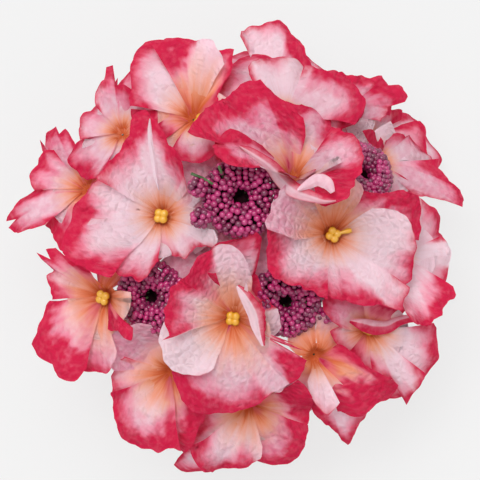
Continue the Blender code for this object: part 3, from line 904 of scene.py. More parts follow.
            36, 33, spread=50, blush_and_shade=0.1, warm=0.6,
            rim=(
                (74, 60, 4), (77.5, 56.5, 5), (79, 54, 4), (82.5, 53, 4), (84.5, 50, 3), (86, 46, 4),
                (87.5, 43.5, 4), (90, 42, 4), (90.5, 38.5, 3), (90, 35, 2),
            ),
        ),
        Petal(-16, 32, spread=46, blush_and_shade=0.25, warm=0.6, band=5),
        Petal(130, 24, blush_and_shade=0.3, warm=0.6, band=4),
        Petal(240, 22, spread=44, blush_and_shade=0.3, warm=0.6, band=4),
        sink=22,
        tilt=38,
    ),
    "low_floret_back_left": floret(
        (17, 70),
        Petal(
            88, 36, spread=46, blush_and_shade=0.15, warm=0.5,
            rim=(
                (2, 91.5, 1), (3.5, 95, 1), (6.5, 97.5, 1), (12, 98.5, 1.5), (16.5, 99.5, 2),
                (20, 99.5, 3), (23, 97.5, 4), (25, 94, 6), (27.5, 91.5, 7), (30, 89.5, 8), (31, 85.5, 8),
                (32.5, 82, 7), (34, 79.5, 5),
            ),
        ),
        Petal(
            140, 34, spread=44, blush_and_shade=0.3, warm=0.5,
            rim=(
                (-13, 91, 1), (-9, 92.5, 1), (-4.5, 92.5, 1), (0, 91.5, 1), (4.5, 90.5, 2), (9, 89, 3),
            ),
        ),
        Petal(36, 27, spread=44, blush_and_shade=0.3, warm=0.5, band=4.5),
        Petal(250, 22, spread=44, blush_and_shade=0.3, warm=0.5, band=3),
        sink=15,
        tilt=40,
    ),
}

# The rolled rims, from their one end to the other.
FOLDS = (
    Fold(
        "crown_floret_back",
        line=(
            (2, 44, 0.7), (6.5, 41.5, 2.2), (12, 38, 2.6), (16.5, 34.5, 3.1), (20, 30, 3.5),
            (24, 26, 3.7), (28.5, 23.5, 3.3), (34.5, 21.5, 2.6), (39.5, 20, 1.8), (44.5, 20, 0.7),
        ),
        left=1.3,
        right=0.6,
        blush_and_shade=0.2,
        lift=2,
        arch=1.8,
    ),
    Fold(
        "crown_floret_back",
        line=(
            (27.5, 24.5, 0.9), (32, 27, 2.2), (36.5, 29, 2.9), (40.5, 27.5, 2.9), (43, 23.5, 1.3),
        ),
        left=0.3,
        right=0,
        blush_and_shade=0.3,
        lift=3.2,
        arch=1.5,
    ),
    Fold(
        "crown_floret_front",
        line=(
            (1, -17.5, 0.9), (3.5, -20.5, 2.4), (6.5, -25, 3.3), (9, -30, 3.5), (10, -35, 3.1),
            (11, -39, 2.2), (12.5, -44, 0.9),
        ),
        left=1.3,
        right=0,
        blush_and_shade=0.1,
        lift=2.4,
    ),
    Fold(
        "ring_floret_right_front",
        line=(
            (50.5, -33, 0.9), (54, -34, 2.2), (57.5, -35, 3.1), (62, -36, 3.3), (67.5, -35.5, 2.9),
            (72.5, -33, 2.2), (79, -32, 1.8), (85, -35, 0.9),
        ),
        left=0.5,
        right=2.4,
        blush_and_shade=0.5,
        lift=2.2,
    ),
    Fold(
        "crown_floret_left",
        line=(
            (-37.5, 56, 0.4), (-37.5, 51, 1.1), (-37, 44.5, 1.3), (-36, 38, 1.3), (-35, 31, 1.1),
            (-33.5, 24.5, 0.4),
        ),
        left=0,
        right=0,
        blush_and_shade=0,
        lift=0.5,
        arch=0.9,
    ),
)


# The lowest ring of florets faces outwards, close over the floor.
LOW_RING = 7
LOW_RING_START = 12.0
LOW_RING_RADIUS = 60.0
LOW_RING_HEIGHT = 25.0
LOW_RING_TILT = 86.0
LOW_RING_LENGTHS = (36, 35, 39, 38, 33)
LOW_RING_SPREAD = 46.0
LOW_RING_SWAY = 2.4
SWAY_HEIGHT = 2.5
SWAY_TILT = 7.0
SWAY_SPIN = 14.0

# Their pips sit too deep in the gathered cloth to be seen.
CLOSED_THROATS = (
    "crown_floret_back",
    "ring_floret_back",
    "ring_floret_left_back",
    "ring_floret_left",
    "ring_floret_front_left",
    "ring_floret_front",
    "ring_floret_front_right",
    "ring_floret_right",
)

# Where a pip is pressed away from the middle of its throat.
PIP_SHIFTS = {
    "ring_floret_back_left": (4.0, -2.0, -1.5),
    "crown_floret_front": (0.0, 0.0, -2.6),
    "ring_floret_right_front": (0.0, 0.6, -2.8),
}

# How bright a pip is, from 0, dull orange, to 0.85, yellow; the dull end is painted shade, for a pip sunk in
# a shaded throat.
PIP_TONE = 0.6
PIP_SHADE_TONES = {"crown_floret_front": 0.0, "crown_floret_right": 0.85}

# A pip's four lobes round its core, and the arm that one of them has.
PIP_SPINS = (0.2, 0.7)
PIP_LOBES = 4
PIP_LOBE_RADIUS = 1.85
PIP_LOBE_OUT = 1.75
PIP_LOBE_HEIGHT = 3.6
PIP_LOBE_STRAY = (-0.2, 0.3)
PIP_LOBE_SQUASH = 0.85
PIP_CORE = ((-2.0, 1.2), (0.0, 1.5), (2.6, 1.9))
PIP_ARM_OF = "crown_floret_right"
PIP_ARM = ((2.4, 0.6, 4.4), (4.4, 1.2, 5.0), (6.0, 1.6, 5.4), (7.6, 1.9, 5.5))
PIP_ARM_RADII = (0.7, 0.9, 1.25, 1.0)

# Heights along a bloom's axis and radii there.
CALYX = ((0.4 - THROAT_DEPTH, 1.2), (-7.0, 1.6), (-5.0, 2.2), (-3.2, 2.2), (-2.2, 1.2))
# A spray's near-black cup, painted shade for the hollow in the middle of its ring.
SHADE_CUP = (
    (-10.6, 1.3), (-7.5, 3.6), (-3.6, 10.2), (0.4, 12.6), (3.2, 9.2), (2.2, 5.2), (-1.4, 3.6), (-6.8, 2.0)
)
STEM = (
    (0.0, 4.5), (1.0, 4.45), (2.0, 3.6), (6.0, 3.5), (10.0, 3.45), (14.0, 3.35), (18.0, 3.3), (20.5, 4.5),
    (22.5, 5.6), (24.4, 5.95), (26.5, 5.5), (28.8, 3.9), (30.3, 0.8),
)

# The twigs and sprigs of a spray.
BEAD_STALK_SHARE = 0.2
BEAD_STALK_FOOT = 0.72
BEAD_STALK_DROP = 3.4
BEAD_STALK_RADII = (0.5, 0.42, 0.36, 0.3)
TWIG_RADII = (0.7, 0.62, 0.6)
SPRIG_STEPS = 6
SPRIG_RADIUS = 0.55
SPRIG_BEADS = 21
SPRIG_WIDE = 3.2
SPRIG_TALL = 2.8
SPRIG_SIZES = (0.8, 1.1)
GOLDEN_ANGLE = 137.508

# The lamps: how wide each looks, in degrees, and where it hangs, in metres, over the point it lights.
LAMPS = (("softbox", 40.0, (-0.12, 0.55, 1.05)), ("glint", 22.0, (-0.34, 0.3, 1.0)))
LIT_POINT = Vector((0, 0, 0.05))

# The floor's reach and the distance that the field is measured at, in metres.
FLOOR_REACH = 3.0
FIELD_AT = 0.9
SENSOR = 36.0

SPRAYS = {
    "berries_back": Spray(
        (3.0, 21.2, 91.0),
        tilt=10.0,
        toward=88.0,
        size=1.08,
        sprigs=((-17.6, 3.2, 5.6), (-16.6, -9.4, 4.6)),
        twigs=(
            ((-20.3, 8.0, 8.4), (-15.4, 6.2, 7.2), (-9.8, 3.4, 4.6)),
            ((-9.2, 11.0, 7.6), (-8.2, 9.0, 5.6), (-7.4, 7.6, 3.4)),
        ),
    ),
    "berries_left": Spray((-36.8, -22.2, 77.0), tilt=22.0, toward=210.0, size=0.98),
    "berries_front": Spray(
        (22.4, -24.2, 79.0), tilt=18.0, toward=-45.0, size=1.0, sprigs=((17.6, -6.8, 1.0),)
    ),
    "berries_right": Spray((57.0, 32.0, 70.0), tilt=30.0, toward=30.0, size=0.86),
}


def facing(tilt, toward):
    """The direction that leans tilt degrees from straight up, towards a bearing in plan."""
    lean = math.radians(tilt)
    bearing = math.radians(toward)
    return Vector((math.sin(lean) * math.cos(bearing), math.sin(lean) * math.sin(bearing), math.cos(lean)))


def frame_of(place, direction):
    """The matrix of a bloom whose middle is at place and which faces along direction."""
    return Matrix.Translation(place) @ UP.rotation_difference(direction).to_matrix().to_4x4()


def floret_frame(floret):
    """A floret's frame: on the dome and square to it, unless the floret says otherwise."""
    x, y = floret.at
    share = min(math.hypot(x, y) / DOME_RADIUS, DOME_EDGE)
    rise = DOME_RISE * math.sqrt(1 - share * share)
    tilt = floret.tilt
    if tilt is None:
        tilt = math.degrees(math.atan2(share / DOME_RADIUS, rise / DOME_RISE**2))
    toward = floret.toward
    if toward is None:
        toward = math.degrees(math.atan2(y, x))
    return frame_of(Vector((x, y, DOME_FOOT + rise - floret.sink)), facing(tilt, toward))


def low_ring():
    """The florets under the head's rim, each a name, a frame and petals."""
    step = 360 / len(LOW_RING_LENGTHS)
    for k in range(LOW_RING):
        bearing = LOW_RING_START + 360 * k / LOW_RING
        sway = math.sin(LOW_RING_SWAY * k)
        place = facing(90, bearing) * LOW_RING_RADIUS + UP * (LOW_RING_HEIGHT + SWAY_HEIGHT * sway)
        frame = frame_of(place, facing(LOW_RING_TILT + SWAY_TILT * sway, bearing))
        first = bearing + 180 + SWAY_SPIN * sway
        petals = tuple(
            Petal((first + step * i) % 360, length, spread=LOW_RING_SPREAD)
            for i, length in enumerate(LOW_RING_LENGTHS)
        )
        yield f"low_ring_floret_{k + 1}", frame, petals


def all_florets():
    """Every floret as a name, a frame and petals, the crown's first."""
    for name, floret in FLORETS.items():
        yield name, floret_frame(floret), floret.petals
    yield from low_ring()


def spray_frame(spray):
    """A spray's frame, which also sets its size."""
    return frame_of(Vector(spray.at), facing(spray.tilt, spray.toward)) @ Matrix.Scale(spray.size, 4)


def knuckles():
    """The centres of the boughs' knuckles, the crown's first."""
    yield Vector(CROWN_KNUCKLE)
    for k in range(RING_KNUCKLES):
        bearing = RING_KNUCKLE_TURN + 360 * k / RING_KNUCKLES
        yield facing(90, bearing) * RING_KNUCKLE_RADIUS + UP * RING_KNUCKLE_HEIGHT


def plain_reach(across):
    """How far a plain petal reaches at this share of its half fan, as a share of its length."""
    side = abs(across)
    return 1 - RIM_ROUND * side**RIM_ROUND_POWER - RIM_CORNER * side**RIM_CORNER_POWER


def plain_rows(petal):
    """The rows of a rim that isn't drawn: the solid's, with a little stray."""
    rows = []
    half = PLAIN_ROWS // 2
    for k in range(PLAIN_ROWS):
        across = (k - half) / half
        at = across * math.radians(petal.spread) * petal.length
        stray = RIM_STRAY * wander(at, petal.phase * PLAIN_REACH_SEED, RIM_STRAY_PERIOD)
        soak = wander(at, petal.phase * PLAIN_DYE_SEED + PLAIN_DYE_START, RIM_STRAY_PERIOD)
        rows.append((across, plain_reach(across) * (1 + stray), petal.band * (1 + soak)))
    return tuple(rows)


def rim_rows(petal, frame):
    """A petal's rim from side to side: share of the half fan, share of the length, width of dye."""
    rows = []
    for row in laid_rim(petal, frame) if petal.rim else ():
        if rows and row[0] - rows[-1][0] < RIM_NEAR:
            rows[-1] = max(row, rows[-1], key=lambda item: item[1])
        else:
            rows.append(row)
    if len(rows) < RIM_ROWS_LEAST:
        return plain_rows(petal)
    if rows[0][0] > RIM_SIDE_LEAST:
        rows.insert(0, (-RIM_SIDE, rows[0][1] * RIM_SIDE_REACH, rows[0][2]))
    return tuple(rows)


def on_rim(rows, across):
    """The reach and the width of dye at a place on a rim."""
    for (a, reach_a, band_a), (b, reach_b, band_b) in zip(rows, rows[1:]):
        if across <= b:
            share = min(1.0, max(0.0, (across - a) / (b - a)))
            eased = share * share * (3 - 2 * share) * RIM_EASE + share * (1 - RIM_EASE)
            return reach_a + (reach_b - reach_a) * eased, band_a + (band_b - band_a) * share
    return rows[-1][1:]


def columns(rows, count):
    """Places across a petal, closest together where its rim bends, with one on every corner."""
    gap = (rows[-1][0] - rows[0][0]) / count
    places = [rows[0][0]]
    for (a, _, _), (b, _, _) in zip(rows, rows[1:]):
        steps = max(1, round((b - a) / gap))
        places += [a + (b - a) * (i + 1) / steps for i in range(steps)]
    return places


def middle_line(petal):
    """How far out and how high a petal's middle is after each equal step along it."""
    out, up = 0.0, 0.0
    line = [(out, up)]
    for i in range(LINE_STEPS):
        share = (i + 0.5) / LINE_STEPS
        slope = petal.turn + petal.flare + (petal.rise - petal.flare) * math.exp(-share / RISE_FADE)
        slope += petal.curl * (max(0.0, share - CURL_START) / (1 - CURL_START)) ** 2
        out += math.cos(math.radians(slope)) * petal.length / LINE_STEPS
        up += math.sin(math.radians(slope)) * petal.length / LINE_STEPS
        line.append((out, up))
    return line


def on_line(line, share):
    """The point at this share of a middle line, or straight on past its end."""
    at = share * (len(line) - 1)
    low = min(int(at), len(line) - 2)
    part = at - low
    return tuple(a + (b - a) * part for a, b in zip(line[low], line[low + 1]))


def petal_point(petal, line, arc, across, claw=CLAW):
    """A point of the petal's sheet in its floret's frame, at this share of its length and half fan."""
    out, up = on_line(line, arc)
    fan = math.radians(petal.spread) * across * (claw + (1 - claw) * min(1.0, arc / CLAW_END))
    side = math.sin(fan) * out
    up += petal.cup * side * side / petal.length
    up += LAP * petal.length * across * arc
    up += WAVE * petal.length * arc * arc * math.sin(petal.phase + WAVE_TURNS * math.pi * across)
    up -= petal.crease * petal.length * arc * math.exp(-((across / CREASE_WIDTH) ** 2))
    foot = facing(90, petal.bearing) * PETAL_FOOT_OUT
    return foot + facing(90, petal.bearing + math.degrees(fan)) * out + UP * (up + petal.lift * arc)


def solid_tree(name):
    """A search tree of a node's solid, in millimetres."""
    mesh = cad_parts[name].data
    return BVHTree.FromPolygons([v.co / MM for v in mesh.vertices], [p.vertices for p in mesh.polygons])


def misfit(petal, frame, tree, least):
    """How far a petal's sheet lies from its floret's solid, given up once that passes the least."""
    line = middle_line(petal)
    far = 0.0
    for along in SOLID_ROWS:
        for k in range(SOLID_FANS + 1):
            across = math.sin((2 * k / SOLID_FANS - 1) * math.pi / 2)
            point = frame @ petal_point(petal, line, along * plain_reach(across), across, SOLID_CLAW)
            point.z = max(point.z, SOLID_THICKNESS / 2 + FLOOR_GAP)
            far += tree.find_nearest(point)[3]
            if far > least:
                return far
    return far


def as_it_stands(petal, frame, tree):
    """The petal with the length and the turn that its solid took to clear its neighbours."""
    found = petal
    least = math.inf
    for share, turn in itertools.product(CLEAR_LENGTHS, CLEAR_TURNS):
        tried = replace(petal, length=petal.length * share, turn=turn, lift=0.0)
        far = misfit(tried, frame, tree, least)
        if far < least:
            found, least = tried, far
    return replace(found, lift=petal.lift)


def seen(point):
    """Where the camera sees a point on the plane that the rims are drawn on."""
    share = (CAMERA.z - RIM_PLANE) / (CAMERA.z - point.z)
    return CAMERA.x + (point.x - CAMERA.x) * share, CAMERA.y + (point.y - CAMERA.y) * share


def laid_rim(petal, frame):
    """A drawn rim as rows on the petal's own sheet: share of the half fan, reach, width of dye."""
    line = middle_line(petal)

    def miss(across, reach, x, y):
        """How far off the sheet is at this place, with a charge for straining the petal."""
        at_x, at_y = seen(frame @ petal_point(petal, line, reach, across))
        strain = max(0.0, abs(across) - RIM_ACROSS) ** 2 + max(0.0, reach - RIM_ALONG) ** 2
        return (at_x - x) ** 2 + (at_y - y) ** 2 + RIM_STRAIN * strain

    sides = range(-RIM_GRID_SIDE, RIM_GRID_SIDE + 1)
    coarse = [(i / RIM_GRID, k / RIM_GRID) for i in sides for k in range(RIM_GRID_FOOT, RIM_GRID_TIP + 1)]
    places = [(place, seen(frame @ petal_point(petal, line, place[1], place[0]))) for place in coarse]
    rows = []
    for x, y, dye in petal.rim:
        across, reach = min(places, key=lambda item: (item[1][0] - x) ** 2 + (item[1][1] - y) ** 2)[0]
        least = miss(across, reach, x, y)
        step = RIM_FIRST_STEP
        while step > RIM_LAST_STEP:
            near = [
                (across + step, reach),
                (across - step, reach),
                (across, reach + step),
                (across, reach - step),
            ]
            better, at = min((miss(*place, x, y), place) for place in near)
            if better < least:
                least, (across, reach) = better, at
            else:
                step /= 2
        if least < RIM_MISS**2:
            rows.append((across, reach, dye))
    rows.sort()
    return tuple(rows)


@functools.cache
def placed_florets():
    """Every floret's frame and its petals as they stand, with their rims laid on their sheets."""
    placed = {}
    for name, frame, petals in all_florets():
        tree = solid_tree(name)
        chance = random.Random(name)
        found = []
        for petal in petals:
            petal = replace(petal, phase=chance.uniform(0, math.tau))
            if not petal.loose:
                petal = as_it_stands(petal, frame, tree)
            found.append(replace(petal, rim=rim_rows(petal, frame)))
        placed[name] = (frame, found)
    return placed


def wander(x, seed, period, y=0.0):
    """Smooth noise from -1 to 1 that changes over this many millimetres."""
    return noise.noise(Vector((x / period, y / period, seed)))


def smooth(value, low, high):
    """A smooth step from 0 at low to 1 at high."""
    share = min(1.0, max(0.0, (value - low) / (high - low)))
    return share * share * (3 - 2 * share)


def heights(line):
    """How high a petal's middle is at each millimetre out, as far as the throat reaches."""
    found = []
    k = 0
    for out in range(int(BLEND_END) + BLEND_SPARE):
        while k < len(line) - 2 and line[k + 1][0] < out:
            k += 1
        (a, low), (b, high) = line[k], line[k + 1]
        found.append(low + (high - low) * (out - a) / max(b - a, LEAST_STEP))
    return found


def nearness(bearing, petal_bearing):
    """How much a petal counts at a bearing: 1 along the petal and next to nothing opposite it."""
    away = (bearing - petal_bearing + 180) % 360 - 180
    return math.exp(-((away / CUP_SPREAD) ** 2)) + CUP_ALL_ROUND


def throat_height(throat, bearing, out):
    """How high the floret's throat is at a bearing: its petals' own heights, blended round it."""
    total = 0.0
    weight = 0.0
    at = min(max(out, 0.0), BLEND_END + BLEND_SPARE - 2)
    low = int(at)
    for petal_bearing, rows in throat:
        share = nearness(bearing, petal_bearing)
        total += share * (rows[low] + (rows[low + 1] - rows[low]) * (at - low))
        weight += share
    return total / weight


def silk_point(petal, line, throat, arc, along, across, ruffle):
    """A point of the finished cloth in its floret's frame."""
    width = across * math.radians(petal.spread) * petal.length
    seed = petal.phase * SEED_STEP
    point = petal_point(petal, line, arc, across)
    out = math.hypot(point.x, point.y)
    bearing = math.degrees(math.atan2(point.y, point.x))
    near = throat_height(throat, bearing, out - PETAL_FOOT_OUT) + BLEND_LAP * across
    share = smooth(out, BLEND_START, BLEND_END)
    point.z = near * (1 - share) + point.z * share
    point.z -= petal.under * smooth(out, BLEND_START, BLEND_START * SINK_END)
    edge = smooth(along, *EDGE_FADE)
    point.z += FOLD * smooth(arc, *FOLD_FADE) * wander(width, seed + FOLD_SEED, FOLD_PERIOD)
    rolled = wander(width, seed + ROLL_SEED, ROLL_PERIOD, along * ROLL_SLANT)
    point.z += ROLL * smooth(arc, *ROLL_FADE) * rolled
    point.z += ruffle * edge * wander(width, seed, RUFFLE_PERIOD, along * RUFFLE_SLANT)
    point.z += RIPPLE * edge * wander(width, seed + RIPPLE_SEED, RIPPLE_PERIOD, along * RIPPLE_SLANT)
    point.z += LUMP * arc * wander(width, seed + LUMP_SEED, LUMP_PERIOD, arc * petal.length)
    return point


def cloth_layers(mesh):
    """The attributes that the silk's dye follows."""
    layers = mesh.verts.layers.float_vector
    return [layers.get(name) or layers.new(name) for name in ("cloth", "dye", "tone")]


def add_petal(cloth, petal, throat, frame, thickness, ruffle, seed, steps, fans):
    """Adds one petal to a mesh as a closed leaf of silk."""
    line = middle_line(petal)
    rows = petal.rim
    places = columns(rows, fans)
    last = len(places) - 1
    spread = math.radians(petal.spread)
    weave, dye, tone = cloth_layers(cloth)
    made = bmesh.ops.create_grid(cloth, x_segments=steps, y_segments=last, size=1.0)["verts"]
    for vertex in made:
        along = SILK_FOOT + (1 - SILK_FOOT) * (vertex.co.x + 1) / 2
        across = places[round((vertex.co.y + 1) / 2 * last)]
        reach, band = on_rim(rows, across)
        at = across * spread * petal.length
        reach *= 1 + SCALLOP * wander(at, petal.phase * SEED_STEP + SCALLOP_SEED, SCALLOP_PERIOD)
        arc = along * reach
        out = arc * petal.length
        side = min(across - places[0], places[-1] - across) * spread * out
        inward = (1 - along) * reach * petal.length
        inward = min(inward, side + DYE_FADE * (1 - smooth(along, DYE_START, DYE_FULL)))
        angle = math.radians(petal.bearing) + across * spread
        vertex[weave] = (across * spread * out, out, seed)
        vertex[dye] = (inward, out, band)
        # The blush carried here is partly painted shade.
        vertex[tone] = (petal.blush_and_shade, angle, petal.warm)
        vertex.co = frame @ silk_point(petal, line, throat, arc, along, across, ruffle)
        vertex.co.z = max(vertex.co.z, thickness)
    thicken(cloth, {face for vertex in made for face in vertex.link_faces}, thickness)


def curve_through(points, count):
    """Points evenly dealt along a smooth curve through the given ones."""
    found = []
    for i in range(count + 1):
        at = i / count * (len(points) - 1)
        k = min(int(at), len(points) - 2)
        t = at - k
        nearest = (points[min(max(k + j, 0), len(points) - 1)] for j in (-1, 0, 1, 2))
        point = []
        for p, q, r, s in zip(*nearest):
            value = 2 * q + (r - p) * t
            value += (2 * p - 5 * q + 4 * r - s) * t**2
            value += (3 * q - p - 3 * r + s) * t**3
            point.append(0.5 * value)
        found.append(tuple(point))
    return found


def on_sight(x, y, z):
    """The point at height z that the camera sees at this place on the rims' plane."""
    share = (CAMERA.z - z) / (CAMERA.z - RIM_PLANE)
    return Vector((CAMERA.x + (x - CAMERA.x) * share, CAMERA.y + (y - CAMERA.y) * share, z))


def seat_heights(cloth, line):
    """How high a rolled rim is laid at each point of its line: on the highest cloth near by."""
    tree = BVHTree.FromBMesh(cloth)
    seat = []
    for x, y, _ in line:
        ahead = (Vector((x, y, RIM_PLANE)) - CAMERA).normalized()
        hit = tree.ray_cast(CAMERA, ahead)[0]
        seat.append(hit.z if hit else None)
    for i, height in enumerate(seat):
        if height is None:
            near = min((k for k, other in enumerate(seat) if other is not None), key=lambda k: abs(k - i))
            seat[i] = seat[near]
    seat = [max(seat[max(0, i - FOLD_OVER) : i + FOLD_OVER + 1]) for i in range(len(seat))]
    return [statistics.fmean(seat[max(0, i - FOLD_EVEN) : i + FOLD_EVEN + 1]) for i in range(len(seat))]


def add_fold(cloth, fold, thickness, seed):
    """Lays a rolled rim on a floret's cloth."""
    line = curve_through(fold.line, FOLD_STEPS)
    seat = seat_heights(cloth, line)
    weave, dye, tone = cloth_layers(cloth)
    made = bmesh.ops.create_grid(cloth, x_segments=FOLD_STEPS, y_segments=FOLD_FANS, size=1.0)["verts"]
    for vertex in made:
        k = round((vertex.co.x + 1) / 2 * FOLD_STEPS)
        across = vertex.co.y
        x, y, half = line[k]
        ahead = Vector(line[min(k + 1, FOLD_STEPS)][:2]) - Vector(line[max(k - 1, 0)][:2])
        aside = Vector((-ahead.y, ahead.x)).normalized() * half * across
        inward = (1 - abs(across)) * half
        vertex[weave] = (half * across, k * FOLD_STEP, seed)
        vertex[dye] = (inward, FOLD_DEPTH, fold.left if across > 0 else fold.right)
        vertex[tone] = (fold.blush_and_shade, 0.0, FOLD_WARM)
        rise = fold.lift + fold.arch * (1 - across * across)
        rise += RIPPLE * wander(k * FOLD_STEP, seed, RIPPLE_PERIOD, across)
        vertex.co = on_sight(x + aside.x, y + aside.y, seat[k] + rise)
    thicken(cloth, {face for vertex in made for face in vertex.link_faces}, thickness)


def thicken(cloth, faces, thickness):
    """Turns a sheet within a mesh into a closed leaf about its middle."""
    doubled = bmesh.ops.extrude_face_region(cloth, geom=list(faces), use_keep_orig=True)["geom"]
    lower = {item for item in doubled if isinstance(item, bmesh.types.BMFace)}
    walls = {face for sheet in lower for edge in sheet.edges for face in edge.link_faces} - lower
    moves = []
    for sheet, side in ((faces, 1), (lower, -1)):
        normals = {}
        for face in sheet:
            face.normal_update()
            for vertex in face.verts:
                normals[vertex] = normals.get(vertex, Vector()) + face.normal
        for vertex, normal in normals.items():
            moves.append((vertex, normal.normalized() * (side * thickness / 2)))
    for vertex, move in moves:
        vertex.co += move
    bmesh.ops.recalc_face_normals(cloth, faces=list(faces | lower | walls))


def cup_reach(petals, bearing):
    """How far out the funnel reaches at a bearing: well inside the petals there, and short of sunk ones."""
    total = 0.0
    weight = 0.0
    for petal in petals:
        share = nearness(bearing, petal.bearing)
        if not petal.under:
            total += share * petal.length * max(reach for _, reach, _ in petal.rim)
        weight += share
    return max(CUP_LEAST, min(CUP_REACH, CUP_SHARE * total / weight))


def add_throat(cloth, petals, throat, frame, thickness, seed):
    """Adds the funnel of cloth that joins the petals' feet."""
    weave, dye, tone = cloth_layers(cloth)
    made = bmesh.ops.create_grid(cloth, x_segments=CUP_STEPS, y_segments=CUP_AROUND, size=1.0)["verts"]
    warm = sum(petal.warm for petal in petals) / len(petals)
    for vertex in made:
        around = (vertex.co.y + 1) * 180
        waver = CUP_WAVER * math.sin(math.radians(around) * CUP_LOBES + seed)
        reach = cup_reach(petals, around) * (1 + waver)
        out = CUP_START + (reach - CUP_START) * (vertex.co.x + 1) / 2
        bearing = math.radians(around)
        vertex[weave] = (bearing * out, out, seed)
        vertex[dye] = (CUP_INWARD, out, 0.0)
        vertex[tone] = (CUP_BLUSH, bearing, warm)
        up = throat_height(throat, around, out - PETAL_FOOT_OUT) - CUP_BELOW
        vertex.co = facing(90, around) * out + UP * up
    bmesh.ops.remove_doubles(cloth, verts=made, dist=CUP_WELD)
    made = [vertex for vertex in made if vertex.is_valid]
    for vertex in made:
        vertex.co = frame @ vertex.co
        vertex.co.z = max(vertex.co.z, thickness)
    thicken(cloth, {face for vertex in made for face in vertex.link_faces}, thickness)


def finished(mesh, name, material, nodes=(), sharp=50.0):
    """A piece from a mesh in millimetres, riding on the head and standing for these nodes."""
    bmesh.ops.scale(mesh, vec=(MM, MM, MM), verts=mesh.verts[:])
    for face in mesh.faces:
        face.smooth = True
    data = bpy.data.meshes.new(name)
    mesh.to_mesh(data)
    mesh.free()
    data.set_sharp_from_angle(angle=math.radians(sharp))
    data.materials.append(material)
    piece = bpy.data.objects.new(name, data)
    bpy.context.scene.collection.objects.link(piece)
    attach(piece, "root")
    if nodes:
        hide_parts(*nodes)
    return piece


def bow(start, leave, end, arrive, steps, bend):
    """Points on a smooth curve from start, leaving along one direction and arriving along another."""
    reach = (end - start).length * bend
    a = start + leave * reach
    b = end - arrive * reach
    points = []
    for i in range(steps + 1):
        t = i / steps
        s = 1 - t
        points.append(start * s**3 + a * 3 * s * s * t + b * 3 * s * t * t + end * t**3)
    return points


def add_limb(mesh, points, radii, sides):
    """Adds a round limb along points, with a radius at each, to a mesh."""
    turn = Quaternion()
    ahead = UP
    before = None
    skin = []
    for i, (point, radius) in enumerate(zip(points, radii)):
        heading = (points[min(i + 1, len(points) - 1)] - points[max(i - 1, 0)]).normalized()
        turn = ahead.rotation_difference(heading) @ turn
        ahead = heading
        ring = bmesh.ops.create_circle(mesh, cap_ends=False, segments=sides, radius=radius)["verts"]
        bmesh.ops.transform(mesh, matrix=Matrix.Translation(point) @ turn.to_matrix().to_4x4(), verts=ring)
        edges = list({edge for vertex in ring for edge in vertex.link_edges})
        if before is None:
            skin.append(bmesh.ops.contextual_create(mesh, geom=ring)["faces"][0])
        else:
            skin += bmesh.ops.bridge_loops(mesh, edges=before + edges)["faces"]
        before = edges
    skin.append(bmesh.ops.contextual_create(mesh, geom=ring)["faces"][0])
    bmesh.ops.recalc_face_normals(mesh, faces=skin)


def add_turned(mesh, frame, profile, sides):
    """Adds a limb that stands on a frame, with a profile of heights and radii, to a mesh."""
    points = [frame @ Vector((0, 0, height)) for height, _ in profile]
    add_limb(mesh, points, [radius for _, radius in profile], sides)


def add_ball(mesh, frame, radius, subdivisions):
    """Adds a ball to a mesh."""
    made = bmesh.ops.create_icosphere(mesh, subdivisions=subdivisions, radius=radius)["verts"]
    bmesh.ops.transform(mesh, matrix=frame, verts=made)
    return made


def stalk_line(frame, depth, tree):
    """The line of a bloom's stalk: the one of its possible ways that its solid took."""
    end = frame @ Vector((0, 0, STALK_SUNK - depth))
    arrive = (frame.to_3x3() @ UP).normalized()
    ways = []
    for knuckle in knuckles():
        leave = (end - knuckle).normalized()
        start = knuckle + leave * (KNUCKLE_RADIUS + SEAT_GAP)
        for bend in STALK_BENDS:
            coarse = bow(start, leave, end, arrive, STALK_ROUGH_STEPS, bend)
            far = max(tree.find_nearest(point)[3] for point in coarse[:-1])
            ways.append((far, len(ways), bow(start, leave, end, arrive, STALK_STEPS, bend)))
    return min(ways)[2]


def add_bead(mesh, frame, place, radius, tone):
    """Adds one bead, with its own tone, to a mesh."""
    layer = mesh.verts.layers.float.get("tone") or mesh.verts.layers.float.new("tone")
    turned = frame @ Matrix.Translation(place) @ Matrix.Rotation(tone * BEAD_SPIN, 4, BEAD_AXIS)
    for vertex in add_ball(mesh, turned, radius, subdivisions=2):
        vertex[layer] = tone


def spray_beads(radius, chance):
    """The beads round a spray's ring, in crowded and uneven rows: each a place, a radius and a tone."""
    rows = round(math.radians(BEAD_TO - BEAD_FROM) * BEAD_TUBE / (2 * radius * BEAD_ROW))
    for row in range(rows):
        section = math.radians(BEAD_FROM + (BEAD_TO - BEAD_FROM) * (row + 0.5) / rows)
        count = int(math.tau * (BEAD_RING + BEAD_TUBE * math.cos(section)) / (2 * radius * BEAD_PACK))
        first = chance.random() * math.tau
        for k in range(count):
            stray = [chance.uniform(-BEAD_STRAY, BEAD_STRAY) for _ in range(3)]
            around = first + math.tau * k / count
            tube = BEAD_TUBE + stray[0] * BEAD_LIFT
            wide = BEAD_RING + tube * math.cos(section)
            around += stray[1] / wide
            lean = section + stray[2] / tube
            wide = BEAD_RING + tube * math.cos(lean)
            height = tube * math.sin(lean) * RING_SQUASH
            size = radius * chance.uniform(*BEAD_SIZES)
            yield Vector((wide * math.cos(around), wide * math.sin(around), height)), size, chance.random()


def add_bead_stalk(twigs, frame, place):
    """Adds the stalk of one bead to a spray's twigs."""
    foot = Vector((place.x * BEAD_STALK_FOOT, place.y * BEAD_STALK_FOOT, place.z - BEAD_STALK_DROP))
    line = [frame @ foot.lerp(place, i / 3) for i in range(4)]
    add_limb(twigs, line, BEAD_STALK_RADII, sides=6)


